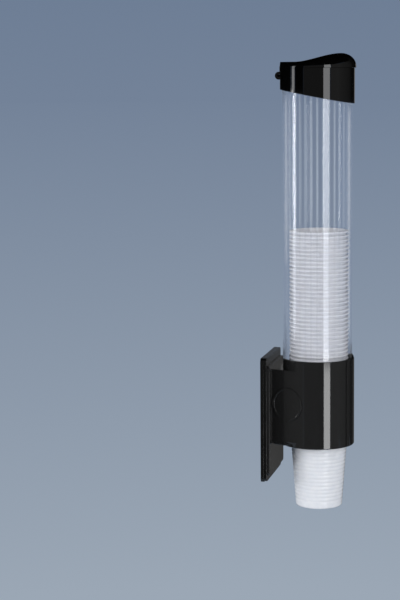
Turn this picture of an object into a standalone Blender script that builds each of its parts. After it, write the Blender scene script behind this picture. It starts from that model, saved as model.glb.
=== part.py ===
"""Wall-mounted pull dispenser for disposable cups, with a loaded stack of cups.

Metres, +Z up. The origin is the middle of the wall plate's back face. The dispenser
stands out of the wall along -Y, which is its front.
"""

import math

import bmesh
import bpy
from mathutils import Matrix, Vector

GAP = 0.0003  # clearance between two pieces that touch

# Wall plate and the flange of the bracket
PLATE_WIDTH = 0.096
PLATE_HEIGHT = 0.146
PLATE_BACK_LAYER = 0.0036
PLATE_THICKNESS = 0.0072
PLATE_STEP = 0.0009
PLATE_CORNER = 0.005
PLATE_BACK_BEVEL = 0.0004
PLATE_FRONT_BEVEL = 0.0010
FLANGE_WIDTH = 0.092
FLANGE_HEIGHT = 0.131
FLANGE_THICKNESS = 0.0030
FLANGE_CORNER = 0.004
FLANGE_BEVEL = 0.0005

# Magnets and screws of the wall plate
MAGNET_RADIUS = 0.010
MAGNET_THICKNESS = 0.0025
MAGNET_X = 0.034
MAGNET_Z = 0.057
SCREW_X = 0.021
SCREW_HEIGHTS = (-0.010, 0.048)
SCREW_RADIUS = 0.0015
SCREW_HEAD_RADIUS = 0.0029
SCREW_HEAD_THICKNESS = 0.0022
SCREW_RECESS = 0.0008
SCREW_TIP_DEPTH = 0.0147
SCREW_SLOT_DEPTH = 0.0012
SCREW_SLOT_ARM = 0.0018
SCREW_SLOT_HALF_WIDTH = 0.0004
BOSS_RADIUS = 0.0042

# Tube
TUBE_AXIS_Y = -0.0602
TUBE_RADIUS = 0.0410
TUBE_BORE = 0.0394
TUBE_BOTTOM = -0.0085
TUBE_TOP = 0.3995
FLUTES = 36
FLUTE_DEPTH = 0.0003
POINTS_PER_FLUTE = 4

# Sleeve and neck of the bracket
SLEEVE_RADIUS = 0.0443
SLEEVE_BORE = 0.0413
SLEEVE_BOTTOM = -0.032
SLEEVE_TOP = 0.072
SLEEVE_LIP_BORE = 0.0386
SLEEVE_LIP_TOP = -0.0295
SLEEVE_BEVEL = 0.0012
NECK_TOP = 0.060
NECK_HALF_WIDTH = 0.028
NECK_BELLY = 0.0075
NECK_WALL = 0.003
NECK_RIB = 0.0024
NOTCH_BEHIND_AXIS = 0.033
NOTCH_HALF_WIDTH = 0.032

# Front trim
TRIM_HALF_ANGLE = math.radians(26.0)
TRIM_PANEL_HALF_ANGLE = math.radians(17.5)
TRIM_OUTER = 0.0446
TRIM_SEAT = 0.0430
TRIM_SEAT_REACH = 0.0530
TRIM_PANEL_DEPTH = 0.0006
TRIM_BOTTOM = -0.0312
TRIM_HORN_TOP = 0.0737
TRIM_MIDDLE_TOP = 0.0700
TRIM_DIP_BEHIND = 0.0690
TRIM_DIP_HALF_ANGLE = math.radians(25.0)

# Plain discs on the sides of the neck
DISC_RADIUS = 0.020
DISC_FROM_TANGENT = 0.0152
DISC_HEIGHT = 0.0193
DISC_SEAT = 0.0009
DISC_SEAT_REACH = 0.0036
DISC_PROUD = 0.0009
DISC_RING = 0.0024
DISC_DISH = 0.0006

# Gate ring and its flexible fingers
GATE_BORE = 0.0378
GATE_BOTTOM = -0.0292
GATE_TOP = -0.0088
GATE_MOUTH_BEVEL = 0.0012
FINGER_COUNT = 4
FIRST_FINGER_ANGLE = math.radians(45)
FINGER_WIDTH = 0.010
FINGER_THICKNESS = 0.0012
FINGER_TOP = -0.0237
FINGER_ROOT = 0.0393
FINGER_TIP_GAP = 0.0005
FINGER_SLOT_THROUGH = 0.002

# Cups
CUP_AXIS_Y = -0.0620
CUP_RIM_RADIUS = 0.03515
CUP_NECK_RADIUS = 0.0339
CUP_BASE_RADIUS = 0.0276
CUP_HEIGHT = 0.0876
CUP_RIM_HEIGHT = 0.0034
CUP_RIM_RISE = 0.0008
CUP_RIM_BEVEL = 0.0009
CUP_WALL = 0.0005
CUP_FLOOR = 0.0008
CUP_FLOOR_FILLET = 0.0012
CUP_DIMPLE = 0.0006
CUP_DIMPLE_RADIUS = 0.0220
CUP_FOOT_RADIUS = 0.0236
CUP_FOOT_ROUNDING = 0.0016
CUP_RIBS = 16
CUP_RIBS_START = 0.006
CUP_RIBS_STOP_BELOW_RIM = 0.0016
CUP_RIB_CREST_SHARE = 0.15
CUP_RIB_VALLEY_SHARE = 0.65
CUP_RIB_DEPTH = 0.00025
CUP_NEST_STEP = 0.0005
CUP_PITCH = 0.0048
CUP_COUNT = 51
TOP_RIM = 0.220
STACK_BORE = 0.0264
STACK_FLOOR = 0.0016
STACK_VENT = 0.006
STACK_WAIST = 0.0528
STACK_VALLEY_ABOVE_RIM = 0.0002
STACK_SLACK = 0.00035

# Cap
COLLAR_RADIUS = 0.0437
COLLAR_TOP = 0.412
COLLAR_BOTTOM_REAR = 0.3884
COLLAR_BOTTOM_FRONT = 0.3712
COLLAR_SHELF_BORE = 0.0386
COLLAR_SHELF_TOP = 0.4020
COLLAR_MOUTH = 0.0400
COLLAR_EDGE = 0.0004
COLLAR_SPARE = 0.002
LID_FORWARD = 0.0007
LID_RADIUS = 0.0446
LID_LIP = 0.0017
LID_WALL = 0.0019
LID_CEILING_DROP = 0.0004
LID_PEAK_HEIGHT = 0.0153
LID_REAR_HEIGHT = 0.0061
LID_RISE_START = -0.026
LID_PEAK_AT = 0.028
HINGE_Y = -0.0167
HINGE_Z = 0.4040
KNUCKLE_RADIUS = 0.0046
KNUCKLE_HALF_WIDTH = 0.0066
LUG_INNER = 0.0072
LUG_OUTER = 0.0125
LUG_ROOT = 0.001
ARM_FRONT = 0.0041
ARM_BACK = 0.0002
ARM_INTO_LID = 0.0008
PIN_RADIUS = 0.0015
PIN_HALF_LENGTH = 0.0122
NOTCH_SIDE_GAP = 0.0002
NOTCH_FRONT_GAP = 0.0022
NOTCH_BACK = 0.010

ROUND_STEPS = 48
CUP_STEPS = 24
DISC_STEPS = 36
LID_STEPS = 40
KNUCKLE_STEPS = 28
TRIM_STEPS = 14
TRIM_SEAT_STEPS = 12
LID_LEVELS = 6
SMOOTH_ANGLE = math.radians(32)
SMALLEST_SQUARE = 1e-12  # keeps a width of zero from dividing
SAME_PLACE = 1e-6
SAME_POINT = 1e-7

FLANGE_BACK_Y = -PLATE_THICKNESS - GAP
FLANGE_FRONT_Y = FLANGE_BACK_Y - FLANGE_THICKNESS
MAGNET_PLACES = [(x, z) for z in (-MAGNET_Z, MAGNET_Z) for x in (-MAGNET_X, MAGNET_X)]
SCREW_PLACES = [(x, z) for x in (-SCREW_X, SCREW_X) for z in SCREW_HEIGHTS]


def clear_scene():
    for thing in list(bpy.data.objects):
        bpy.data.objects.remove(thing, do_unlink=True)


def finish(name, colour, roughness, metallic=0.0, alpha=1.0):
    """One Principled material; colour is linear RGB."""
    made = bpy.data.materials.new(name)
    made.use_nodes = True
    shader = made.node_tree.nodes["Principled BSDF"]
    shader.inputs["Base Color"].default_value = (*colour, 1.0)
    shader.inputs["Roughness"].default_value = roughness
    shader.inputs["Metallic"].default_value = metallic
    shader.inputs["Alpha"].default_value = alpha
    made.diffuse_color = (*colour, alpha)
    return made


def add_object(name, shape, material=None):
    """Turns a bmesh into a scene object, shaded smooth with sharp creases."""
    bmesh.ops.recalc_face_normals(shape, faces=shape.faces)
    mesh = bpy.data.meshes.new(name)
    shape.to_mesh(mesh)
    shape.free()
    mesh.shade_smooth()
    mesh.set_sharp_from_angle(angle=SMOOTH_ANGLE)
    made = bpy.data.objects.new(name, mesh)
    bpy.context.scene.collection.objects.link(made)
    if material:
        mesh.materials.append(material)
    return made


def combine(target, tool, operation):
    """Unites, cuts or keeps the overlap, then removes the tool object."""
    change = target.modifiers.new(tool.name, "BOOLEAN")
    change.operation = operation
    change.solver = "EXACT"
    change.object = tool
    bpy.context.view_layer.update()
    graph = bpy.context.evaluated_depsgraph_get()
    result = bpy.data.meshes.new_from_object(target.evaluated_get(graph))
    target.modifiers.clear()
    before = target.data
    target.data = result
    bpy.data.meshes.remove(before)
    bpy.data.objects.remove(tool, do_unlink=True)
    result.shade_smooth()
    result.set_sharp_from_angle(angle=SMOOTH_ANGLE)
    return target


def cut(target, *tools):
    for tool in tools:
        combine(target, tool, "DIFFERENCE")


def unite(target, *tools):
    for tool in tools:
        combine(target, tool, "UNION")


def turned(name, outline, centre_y, material=None, steps=ROUND_STEPS):
    """Spins a closed (radius, height) outline about the vertical line at centre_y."""
    shape = bmesh.new()
    points = [shape.verts.new((radius, centre_y, height)) for radius, height in outline]
    for here, there in zip(points, points[1:] + points[:1]):
        shape.edges.new((here, there))
    bmesh.ops.spin(
        shape,
        geom=shape.verts[:] + shape.edges[:],
        cent=(0, centre_y, 0),
        axis=(0, 0, 1),
        angle=2 * math.pi,
        steps=steps,
        use_merge=True,
    )
    bmesh.ops.remove_doubles(shape, verts=shape.verts, dist=SAME_POINT)
    on_axis = [edge for edge in shape.edges if not edge.link_faces]
    bmesh.ops.delete(shape, geom=on_axis, context="EDGES")
    return add_object(name, shape, material)


def extruded(name, outline, low, high, material=None):
    """Extrudes a plan outline of (x, y) points between two heights."""
    shape = bmesh.new()
    floor = shape.faces.new([shape.verts.new((x, y, low)) for x, y in outline])
    grown = bmesh.ops.extrude_face_region(shape, geom=[floor])["geom"]
    moved = [part for part in grown if isinstance(part, bmesh.types.BMVert)]
    bmesh.ops.translate(shape, verts=moved, vec=(0, 0, high - low))
    return add_object(name, shape, material)


def block(name, low, high, material=None):
    """A box between two corners."""
    shape = bmesh.new()
    bmesh.ops.create_cube(shape, size=1.0)
    size = Vector(high) - Vector(low)
    bmesh.ops.scale(shape, vec=size, verts=shape.verts)
    bmesh.ops.translate(shape, vec=Vector(low) + size / 2, verts=shape.verts)
    return add_object(name, shape, material)


def rod(name, start, end, radius, material=None, steps=20):
    """A round bar between two points."""
    start, end = Vector(start), Vector(end)
    shape = bmesh.new()
    bmesh.ops.create_cone(
        shape,
        cap_ends=True,
        segments=steps,
        radius1=radius,
        radius2=radius,
        depth=(end - start).length,
    )
    turn = (end - start).to_track_quat("Z", "Y").to_matrix().to_4x4()
    place = Matrix.Translation((start + end) / 2)
    bmesh.ops.transform(shape, matrix=place @ turn, verts=shape.verts)
    return add_object(name, shape, material)


def upright_slab(name, width, height, back_y, front_y, corner, bevel, material=None):
    """A slab parallel to the wall, with rounded corners and a bevelled front edge."""
    shape = bmesh.new()
    bmesh.ops.create_cube(shape, size=1.0)
    bmesh.ops.scale(shape, vec=(width, back_y - front_y, height), verts=shape.verts)
    middle = (0, (back_y + front_y) / 2, 0)
    bmesh.ops.translate(shape, vec=middle, verts=shape.verts)
    corners = [
        edge for edge in shape.edges
        if abs(edge.verts[0].co.y - edge.verts[1].co.y) > (back_y - front_y) / 2
    ]
    bmesh.ops.bevel(
        shape, geom=corners, offset=corner, segments=4, profile=0.5, affect="EDGES"
    )
    if bevel:
        front = [
            edge for edge in shape.edges
            if all(abs(vert.co.y - front_y) < SAME_PLACE for vert in edge.verts)
        ]
        bmesh.ops.bevel(
            shape, geom=front, offset=bevel, segments=2, profile=0.5, affect="EDGES"
        )
    return add_object(name, shape, material)


def on_arc(radius, angle, height, centre_y=TUBE_AXIS_Y):
    """A point at an angle from the front, positive towards -X, the photographed side."""
    return Vector(
        (-radius * math.sin(angle), centre_y - radius * math.cos(angle), height)
    )


def tangent_side(sign):
    """Where one side of the neck meets the sleeve, and the way back to the flange."""
    depth = TUBE_AXIS_Y - FLANGE_FRONT_Y
    corner = Vector((sign * NECK_HALF_WIDTH, FLANGE_FRONT_Y))
    reach = math.hypot(NECK_HALF_WIDTH, depth)
    swing = math.acos(SLEEVE_RADIUS / reach)
    around = math.atan2(-depth, NECK_HALF_WIDTH) - swing
    touch = Vector(
        (
            sign * SLEEVE_RADIUS * math.cos(around),
            TUBE_AXIS_Y + SLEEVE_RADIUS * math.sin(around),
        )
    )
    return touch, (corner - touch).normalized()


def neck_outline(inset):
    """Plan outline of the neck, from the flange to inside the sleeve."""
    right, back = tangent_side(1)
    outward = Vector((-back.y, back.x))
    if outward.x < 0:
        outward = -outward
    right = right - outward * inset
    rear_y = FLANGE_BACK_Y + GAP if inset else FLANGE_FRONT_Y + FLANGE_THICKNESS / 2
    rear = right + back * ((rear_y - right.y) / back.y)
    return [
        (rear.x, rear_y),
        (right.x, right.y),
        (-right.x, right.y),
        (-rear.x, rear_y),
    ]


def make_wall_plate(materials):
    plate = upright_slab(
        "wall_plate",
        PLATE_WIDTH,
        PLATE_HEIGHT,
        0.0,
        -PLATE_BACK_LAYER,
        PLATE_CORNER,
        PLATE_BACK_BEVEL,
        materials["plate"],
    )
    unite(
        plate,
        upright_slab(
            "plate_front_layer",
            PLATE_WIDTH - 2 * PLATE_STEP,
            PLATE_HEIGHT - 2 * PLATE_STEP,
            -PLATE_BACK_LAYER / 2,
            -PLATE_THICKNESS,
            PLATE_CORNER - PLATE_STEP,
            PLATE_FRONT_BEVEL,
        ),
    )
    pocket_floor = -MAGNET_THICKNESS - 2 * GAP
    for number, (x, z) in enumerate(MAGNET_PLACES, 1):
        cut(
            plate,
            rod("magnet_pocket", (x, GAP, z), (x, pocket_floor, z), MAGNET_RADIUS + GAP),
        )
        rod(
            f"magnet_{number}",
            (x, -GAP, z),
            (x, pocket_floor + GAP, z),
            MAGNET_RADIUS,
            materials["magnet"],
        )
    head_floor = -SCREW_RECESS - SCREW_HEAD_THICKNESS - GAP
    plate_front = -PLATE_THICKNESS - GAP
    for x, z in SCREW_PLACES:
        cut(
            plate,
            rod("head_recess", (x, GAP, z), (x, head_floor, z), SCREW_HEAD_RADIUS + GAP),
            rod("shank_hole", (x, 0, z), (x, plate_front, z), SCREW_RADIUS + GAP),
        )


def make_plate_screws(materials):
    head_inner = -SCREW_RECESS - SCREW_HEAD_THICKNESS
    slot_floor = -SCREW_RECESS - SCREW_SLOT_DEPTH
    arm, half = SCREW_SLOT_ARM, SCREW_SLOT_HALF_WIDTH
    for number, (x, z) in enumerate(SCREW_PLACES, 1):
        screw = rod(
            f"plate_screw_{number}",
            (x, -SCREW_RECESS, z),
            (x, head_inner, z),
            SCREW_HEAD_RADIUS,
            materials["steel"],
        )
        unite(
            screw,
            rod("shank", (x, -SCREW_RECESS * 2, z), (x, -SCREW_TIP_DEPTH, z), SCREW_RADIUS),
        )
        cut(
            screw,
            block("slot_across", (x - arm, slot_floor, z - half), (x + arm, GAP, z + half)),
            block("slot_along", (x - half, slot_floor, z - arm), (x + half, GAP, z + arm)),
        )


def make_bracket_body(materials):
    body = upright_slab(
        "bracket_body",
        FLANGE_WIDTH,
        FLANGE_HEIGHT,
        FLANGE_BACK_Y,
        FLANGE_FRONT_Y,
        FLANGE_CORNER,
        FLANGE_BEVEL,
        materials["body"],
    )
    neck = extruded("neck", neck_outline(0.0), SLEEVE_BOTTOM, NECK_TOP)
    shape = bmesh.new()
    shape.from_mesh(neck.data)
    mouth_y = neck_outline(0.0)[1][1]
    belly = [
        edge for edge in shape.edges
        if all(abs(vert.co.z - SLEEVE_BOTTOM) < SAME_PLACE for vert in edge.verts)
        and not all(abs(vert.co.y - mouth_y) < SAME_PLACE for vert in edge.verts)
    ]
    bmesh.ops.bevel(
        shape, geom=belly, offset=NECK_BELLY, segments=5, profile=0.5, affect="EDGES"
    )
    shape.to_mesh(neck.data)
    shape.free()
    eased = SLEEVE_BEVEL * (1 - math.cos(math.pi / 4))
    sleeve = turned(
        "sleeve",
        [
            (0, SLEEVE_BOTTOM),
            (SLEEVE_RADIUS - SLEEVE_BEVEL, SLEEVE_BOTTOM),
            (SLEEVE_RADIUS - eased, SLEEVE_BOTTOM + eased),
            (SLEEVE_RADIUS, SLEEVE_BOTTOM + SLEEVE_BEVEL),
            (SLEEVE_RADIUS, SLEEVE_TOP - SLEEVE_BEVEL / 2),
            (SLEEVE_RADIUS - SLEEVE_BEVEL / 2, SLEEVE_TOP),
            (0, SLEEVE_TOP),
        ],
        TUBE_AXIS_Y,
    )
    unite(body, neck, sleeve)
    cavity = extruded(
        "cavity",
        neck_outline(NECK_WALL),
        SLEEVE_BOTTOM + NECK_BELLY + NECK_WALL / 2,
        NECK_TOP - NECK_WALL,
    )
    cut(
        cavity,
        turned(
            "sleeve_wall",
            [
                (0, SLEEVE_BOTTOM - GAP),
                (SLEEVE_RADIUS, SLEEVE_BOTTOM - GAP),
                (SLEEVE_RADIUS, SLEEVE_TOP + GAP),
                (0, SLEEVE_TOP + GAP),
            ],
            TUBE_AXIS_Y,
        ),
    )
    inner_y = TUBE_AXIS_Y + SLEEVE_RADIUS / 2
    half_rib = NECK_RIB / 2
    middle_z = sum(SCREW_HEIGHTS) / 2
    wide = NECK_HALF_WIDTH * 2
    cut(
        cavity,
        block("upright_rib", (-half_rib, inner_y, -wide), (half_rib, GAP, wide)),
        block("level_rib", (-wide, inner_y, middle_z - half_rib), (wide, GAP, middle_z + half_rib)),
    )
    for x, z in SCREW_PLACES:
        cut(cavity, rod("boss", (x, GAP, z), (x, inner_y, z), BOSS_RADIUS))
    cut(body, cavity)
    cut(
        body,
        turned(
            "bore",
            [
                (0, SLEEVE_BOTTOM - 2 * GAP),
                (SLEEVE_LIP_BORE, SLEEVE_BOTTOM - 2 * GAP),
                (SLEEVE_LIP_BORE, SLEEVE_LIP_TOP),
                (SLEEVE_BORE, SLEEVE_LIP_TOP),
                (SLEEVE_BORE, SLEEVE_TOP + 2 * GAP),
                (0, SLEEVE_TOP + 2 * GAP),
            ],
            TUBE_AXIS_Y,
        ),
        block(
            "rear_notch",
            (-NOTCH_HALF_WIDTH, TUBE_AXIS_Y + NOTCH_BEHIND_AXIS, NECK_TOP),
            (NOTCH_HALF_WIDTH, FLANGE_FRONT_Y - GAP, SLEEVE_TOP + 2 * GAP),
        ),
    )
    angles = [
        (TRIM_HALF_ANGLE + GAP / SLEEVE_RADIUS) * (2 * step / TRIM_SEAT_STEPS - 1)
        for step in range(TRIM_SEAT_STEPS + 1)
    ]
    outline = [on_arc(TRIM_SEAT, angle, 0).xy for angle in angles]
    outline += [on_arc(TRIM_SEAT_REACH, angle, 0).xy for angle in reversed(angles)]
    cut(body, extruded("trim_seat", outline, SLEEVE_BOTTOM - GAP, SLEEVE_TOP + GAP))
    angles = [
        TRIM_DIP_HALF_ANGLE * (2 * step / TRIM_SEAT_STEPS - 1)
        for step in range(TRIM_SEAT_STEPS + 1)
    ]
    outline = [on_arc(GATE_BORE, angle, 0).xy for angle in angles]
    outline += [on_arc(TRIM_SEAT_REACH, angle, 0).xy for angle in reversed(angles)]
    cut(body, extruded("front_dip", outline, TRIM_DIP_BEHIND, SLEEVE_TOP + GAP))
    hole_floor = -SCREW_TIP_DEPTH - GAP
    for x, z in SCREW_PLACES:
        cut(body, rod("screw_hole", (x, GAP, z), (x, hole_floor, z), SCREW_RADIUS + GAP))
    for sign in (-1, 1):
        centre, outward = disc_place(sign)
        cut(
            body,
            rod(
                "disc_seat",
                centre - outward * DISC_SEAT,
                centre + outward * DISC_SEAT_REACH,
                DISC_RADIUS + GAP,
                steps=DISC_STEPS,
            ),
        )


def disc_place(sign):
    """Centre and outward direction of the plain disc on one side of the neck."""
    touch, back = tangent_side(sign)
    spot = touch + back * DISC_FROM_TANGENT
    outward = Vector((-back.y, back.x, 0))
    if outward.x * sign < 0:
        outward = -outward
    return Vector((spot.x, spot.y, DISC_HEIGHT)), outward


def make_side_discs(materials):
    for name, sign in (("side_disc_left", -1), ("side_disc_right", 1)):
        centre, outward = disc_place(sign)
        top = centre + outward * DISC_PROUD
        disc = rod(
            name,
            centre - outward * (DISC_SEAT - GAP),
            top,
            DISC_RADIUS,
            materials["body"],
            steps=DISC_STEPS,
        )
        dish = rod(
            "dish",
            top - outward * DISC_DISH,
            top + outward * DISC_PROUD,
            DISC_RADIUS - DISC_RING,
            steps=DISC_STEPS,
        )
        cut(disc, dish)


def make_front_trim(materials):
    """A curved strip whose top edge dips between two horns, with a sunk middle panel."""
    inner = TRIM_SEAT + GAP
    shape = bmesh.new()
    columns = []
    for step in range(TRIM_STEPS + 1):
        share = 2 * step / TRIM_STEPS - 1
        angle = TRIM_HALF_ANGLE * share
        sunk = abs(angle) < TRIM_PANEL_HALF_ANGLE
        outer = TRIM_OUTER - (TRIM_PANEL_DEPTH if sunk else 0.0)
        if step in (0, TRIM_STEPS):
            outer = TRIM_OUTER - TRIM_PANEL_DEPTH / 2
        top = TRIM_MIDDLE_TOP + (TRIM_HORN_TOP - TRIM_MIDDLE_TOP) * share**2
        columns.append(
            [
                shape.verts.new(on_arc(inner, angle, TRIM_BOTTOM)),
                shape.verts.new(on_arc(outer, angle, TRIM_BOTTOM)),
                shape.verts.new(on_arc(outer, angle, top)),
                shape.verts.new(on_arc(inner, angle, top)),
            ]
        )
    for here, there in zip(columns, columns[1:]):
        for corner in range(4):
            following = (corner + 1) % 4
            shape.faces.new(
                [here[corner], here[following], there[following], there[corner]]
            )
    shape.faces.new(columns[0])
    shape.faces.new(columns[-1])
    add_object("front_trim", shape, materials["body"])



def make_gate(materials):
    """The ring that the tube stands on, and the fingers that hold the lowest rim."""
    ring = turned(
        "gate_ring",
        [
            (GATE_BORE, GATE_BOTTOM),
            (SLEEVE_BORE - GAP, GATE_BOTTOM),
            (SLEEVE_BORE - GAP, GATE_TOP),
            (GATE_BORE + GATE_MOUTH_BEVEL, GATE_TOP),
            (GATE_BORE, GATE_TOP - GATE_MOUTH_BEVEL),
        ],
        TUBE_AXIS_Y,
        materials["gate"],
    )
    tip = CUP_NECK_RADIUS + FINGER_TIP_GAP
    lean = TUBE_AXIS_Y - CUP_AXIS_Y
    half = FINGER_WIDTH / 2
    for number in range(FINGER_COUNT):
        angle = FIRST_FINGER_ANGLE + 2 * math.pi * number / FINGER_COUNT
        turn = Matrix.Rotation(-angle, 4, "Z")
        place = Matrix.Translation((0, TUBE_AXIS_Y, 0)) @ turn
        slot = block(
            "finger_slot",
            (-half - GAP, -FINGER_ROOT - GAP, FINGER_TOP - FINGER_THICKNESS - GAP),
            (half + GAP, -GATE_BORE + FINGER_SLOT_THROUGH, FINGER_TOP + GAP),
        )
        slot.data.transform(place)
        cut(ring, slot)
        reach = tip + lean * math.cos(angle)
        finger = block(
            f"retaining_finger_{number + 1}",
            (-half, -FINGER_ROOT, FINGER_TOP - FINGER_THICKNESS),
            (half, -reach, FINGER_TOP),
            materials["finger"],
        )
        finger.data.transform(place)


def make_tube(materials):
    """The clear tube, its outside drawn in shallow flutes."""
    count = FLUTES * POINTS_PER_FLUTE
    outer = []
    inner = []
    for step in range(count):
        angle = 2 * math.pi * step / count
        wave = (1 - math.cos(angle * FLUTES)) / 2
        outer.append(on_arc(TUBE_RADIUS - FLUTE_DEPTH * wave, angle, TUBE_BOTTOM))
        inner.append(on_arc(TUBE_BORE, angle, TUBE_BOTTOM))
    shape = bmesh.new()
    loops = []
    for line in (outer, inner):
        points = [shape.verts.new(point) for point in line]
        loops += [
            shape.edges.new((here, there))
            for here, there in zip(points, points[1:] + points[:1])
        ]
    floor = bmesh.ops.bridge_loops(shape, edges=loops)["faces"]
    grown = bmesh.ops.extrude_face_region(shape, geom=floor)["geom"]
    moved = [part for part in grown if isinstance(part, bmesh.types.BMVert)]
    bmesh.ops.translate(shape, verts=moved, vec=(0, 0, TUBE_TOP - TUBE_BOTTOM))
    add_object("cup_tube", shape, materials["clear"])


def cup_radius(below_rim):
    """Outer radius of a cup's plain wall, at a depth below its top."""
    span = CUP_HEIGHT - CUP_RIM_HEIGHT
    share = (below_rim - CUP_RIM_HEIGHT) / span
    return CUP_NECK_RADIUS + (CUP_BASE_RADIUS - CUP_NECK_RADIUS) * share


def cup_outline(top, ribs, inset=0.0):
    """A single cup's closed outline, from the middle of its floor round to the rim.

    The wall below the neck may be set in, where the cup nests in another.
    """
    base = top - CUP_HEIGHT
    foot = CUP_BASE_RADIUS - inset
    outline = [
        (0, base + CUP_DIMPLE),
        (CUP_DIMPLE_RADIUS, base + CUP_DIMPLE),
        (CUP_FOOT_RADIUS, base),
        (foot - CUP_FOOT_ROUNDING / 2, base),
        (foot, base + CUP_FOOT_ROUNDING),
    ]
    if inset:
        ledge = top - CUP_PITCH + GAP
        outline += [(CUP_NECK_RADIUS - inset, ledge), (CUP_NECK_RADIUS, ledge + GAP)]
    first = CUP_RIBS_START
    last = CUP_HEIGHT - CUP_RIM_HEIGHT - CUP_RIBS_STOP_BELOW_RIM
    for number in range(ribs):
        for share, depth in ((CUP_RIB_CREST_SHARE, 0.0), (CUP_RIB_VALLEY_SHARE, CUP_RIB_DEPTH)):
            height = first + (last - first) * (number + share) / ribs
            outline.append((cup_radius(CUP_HEIGHT - height) - depth, base + height))
    outline += [
        (CUP_NECK_RADIUS, top - CUP_RIM_HEIGHT),
        (CUP_RIM_RADIUS, top - CUP_RIM_HEIGHT + CUP_RIM_RISE),
        (CUP_RIM_RADIUS, top - CUP_RIM_BEVEL),
        (CUP_RIM_RADIUS - CUP_RIM_BEVEL, top),
    ]
    inner = CUP_WALL + inset + (CUP_RIB_DEPTH if ribs else 0.0)
    floor = base + CUP_FLOOR + CUP_DIMPLE
    outline += [
        (CUP_NECK_RADIUS - inner, top - CUP_RIM_HEIGHT / 2),
        (CUP_BASE_RADIUS - inner, floor + CUP_FLOOR_FILLET),
        (CUP_BASE_RADIUS - inner - CUP_FLOOR_FILLET, floor),
        (0, floor),
    ]
    return outline


def make_cups(materials):
    """The cup to be pulled, the top cup, and all the nested cups between them."""
    cup = materials["cup"]
    lowest_rim = TOP_RIM - CUP_PITCH * (CUP_COUNT - 1)
    turned("cup_bottom", cup_outline(lowest_rim, CUP_RIBS), CUP_AXIS_Y, cup, CUP_STEPS)
    turned("cup_top", cup_outline(TOP_RIM, 0, CUP_NEST_STEP), CUP_AXIS_Y, cup, CUP_STEPS)

    last_rim = lowest_rim + CUP_PITCH
    nested = 2 * GAP + CUP_WALL + CUP_RIB_DEPTH
    base = last_rim - CUP_HEIGHT
    outline = [
        (0, base),
        (CUP_BASE_RADIUS - nested, base),
        (CUP_NECK_RADIUS - nested, last_rim - CUP_RIM_HEIGHT),
    ]
    rims = CUP_COUNT - 2
    for number in range(rims):
        rim = last_rim + number * CUP_PITCH
        outline.append((CUP_RIM_RADIUS, rim - CUP_RIM_HEIGHT + CUP_RIM_RISE))
        outline.append((CUP_RIM_RADIUS, rim - CUP_RIM_BEVEL))
        if number < rims - 1:
            outline.append((CUP_NECK_RADIUS, rim + STACK_VALLEY_ABOVE_RIM))
    first_rim = TOP_RIM - CUP_PITCH
    top_base = TOP_RIM - CUP_HEIGHT
    room = STACK_SLACK - CUP_NEST_STEP
    outline += [
        (CUP_RIM_RADIUS - CUP_RIM_BEVEL, first_rim),
        (CUP_NECK_RADIUS + room, first_rim),
        (CUP_BASE_RADIUS + room, top_base - GAP),
        (STACK_VENT, top_base - GAP),
        (STACK_VENT, top_base - GAP - STACK_FLOOR),
        (STACK_BORE, top_base - GAP - STACK_FLOOR),
    ]
    lean = (CUP_NECK_RADIUS - CUP_BASE_RADIUS) / (CUP_HEIGHT - CUP_RIM_HEIGHT)
    foot = CUP_BASE_RADIUS - nested - STACK_FLOOR
    outline += [
        (foot + lean * STACK_WAIST, base + STACK_WAIST),
        (foot, base + STACK_FLOOR),
        (0, base + STACK_FLOOR),
    ]
    turned("cup_stack", outline, CUP_AXIS_Y, cup, CUP_STEPS)


def make_collar(materials):
    """The cap's collar, cut at a slant below, with two lugs for the hinge pin."""
    shelf_bottom = TUBE_TOP + GAP
    low = COLLAR_BOTTOM_FRONT - COLLAR_SPARE
    collar = turned(
        "cap_collar",
        [
            (COLLAR_RADIUS, low),
            (COLLAR_RADIUS, COLLAR_TOP - COLLAR_EDGE),
            (COLLAR_RADIUS - COLLAR_EDGE, COLLAR_TOP),
            (COLLAR_MOUTH, COLLAR_TOP),
            (COLLAR_MOUTH, COLLAR_SHELF_TOP),
            (COLLAR_SHELF_BORE, COLLAR_SHELF_TOP),
            (COLLAR_SHELF_BORE, shelf_bottom),
            (TUBE_RADIUS + GAP, shelf_bottom),
            (TUBE_RADIUS + GAP, low),
        ],
        TUBE_AXIS_Y,
        materials["cap"],
    )
    slope = math.atan2(COLLAR_BOTTOM_REAR - COLLAR_BOTTOM_FRONT, 2 * COLLAR_RADIUS)
    middle = (COLLAR_BOTTOM_REAR + COLLAR_BOTTOM_FRONT) / 2
    reach = COLLAR_RADIUS * 2
    below = block("below_collar", (-reach, -reach, -reach), (reach, reach, 0))
    tilt = Matrix.Translation((0, TUBE_AXIS_Y, middle)) @ Matrix.Rotation(slope, 4, "X")
    below.data.transform(tilt)
    cut(collar, below)
    for sign in (-1, 1):
        unite(
            collar,
            rod(
                "lug",
                (sign * (LUG_INNER - LUG_ROOT), HINGE_Y, HINGE_Z),
                (sign * LUG_OUTER, HINGE_Y, HINGE_Z),
                KNUCKLE_RADIUS,
                steps=KNUCKLE_STEPS,
            ),
        )
    notch_half = LUG_INNER - NOTCH_SIDE_GAP
    notch_front = HINGE_Y - KNUCKLE_RADIUS - NOTCH_FRONT_GAP
    notch_floor = HINGE_Z - KNUCKLE_RADIUS - GAP
    cut(
        collar,
        block(
            "knuckle_notch",
            (-notch_half, notch_front, notch_floor),
            (notch_half, HINGE_Y + NOTCH_BACK, COLLAR_TOP + COLLAR_SPARE),
        ),
        rod(
            "pin_hole",
            (-LUG_OUTER - GAP, HINGE_Y, HINGE_Z),
            (LUG_OUTER + GAP, HINGE_Y, HINGE_Z),
            PIN_RADIUS + GAP,
        ),
    )


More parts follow.
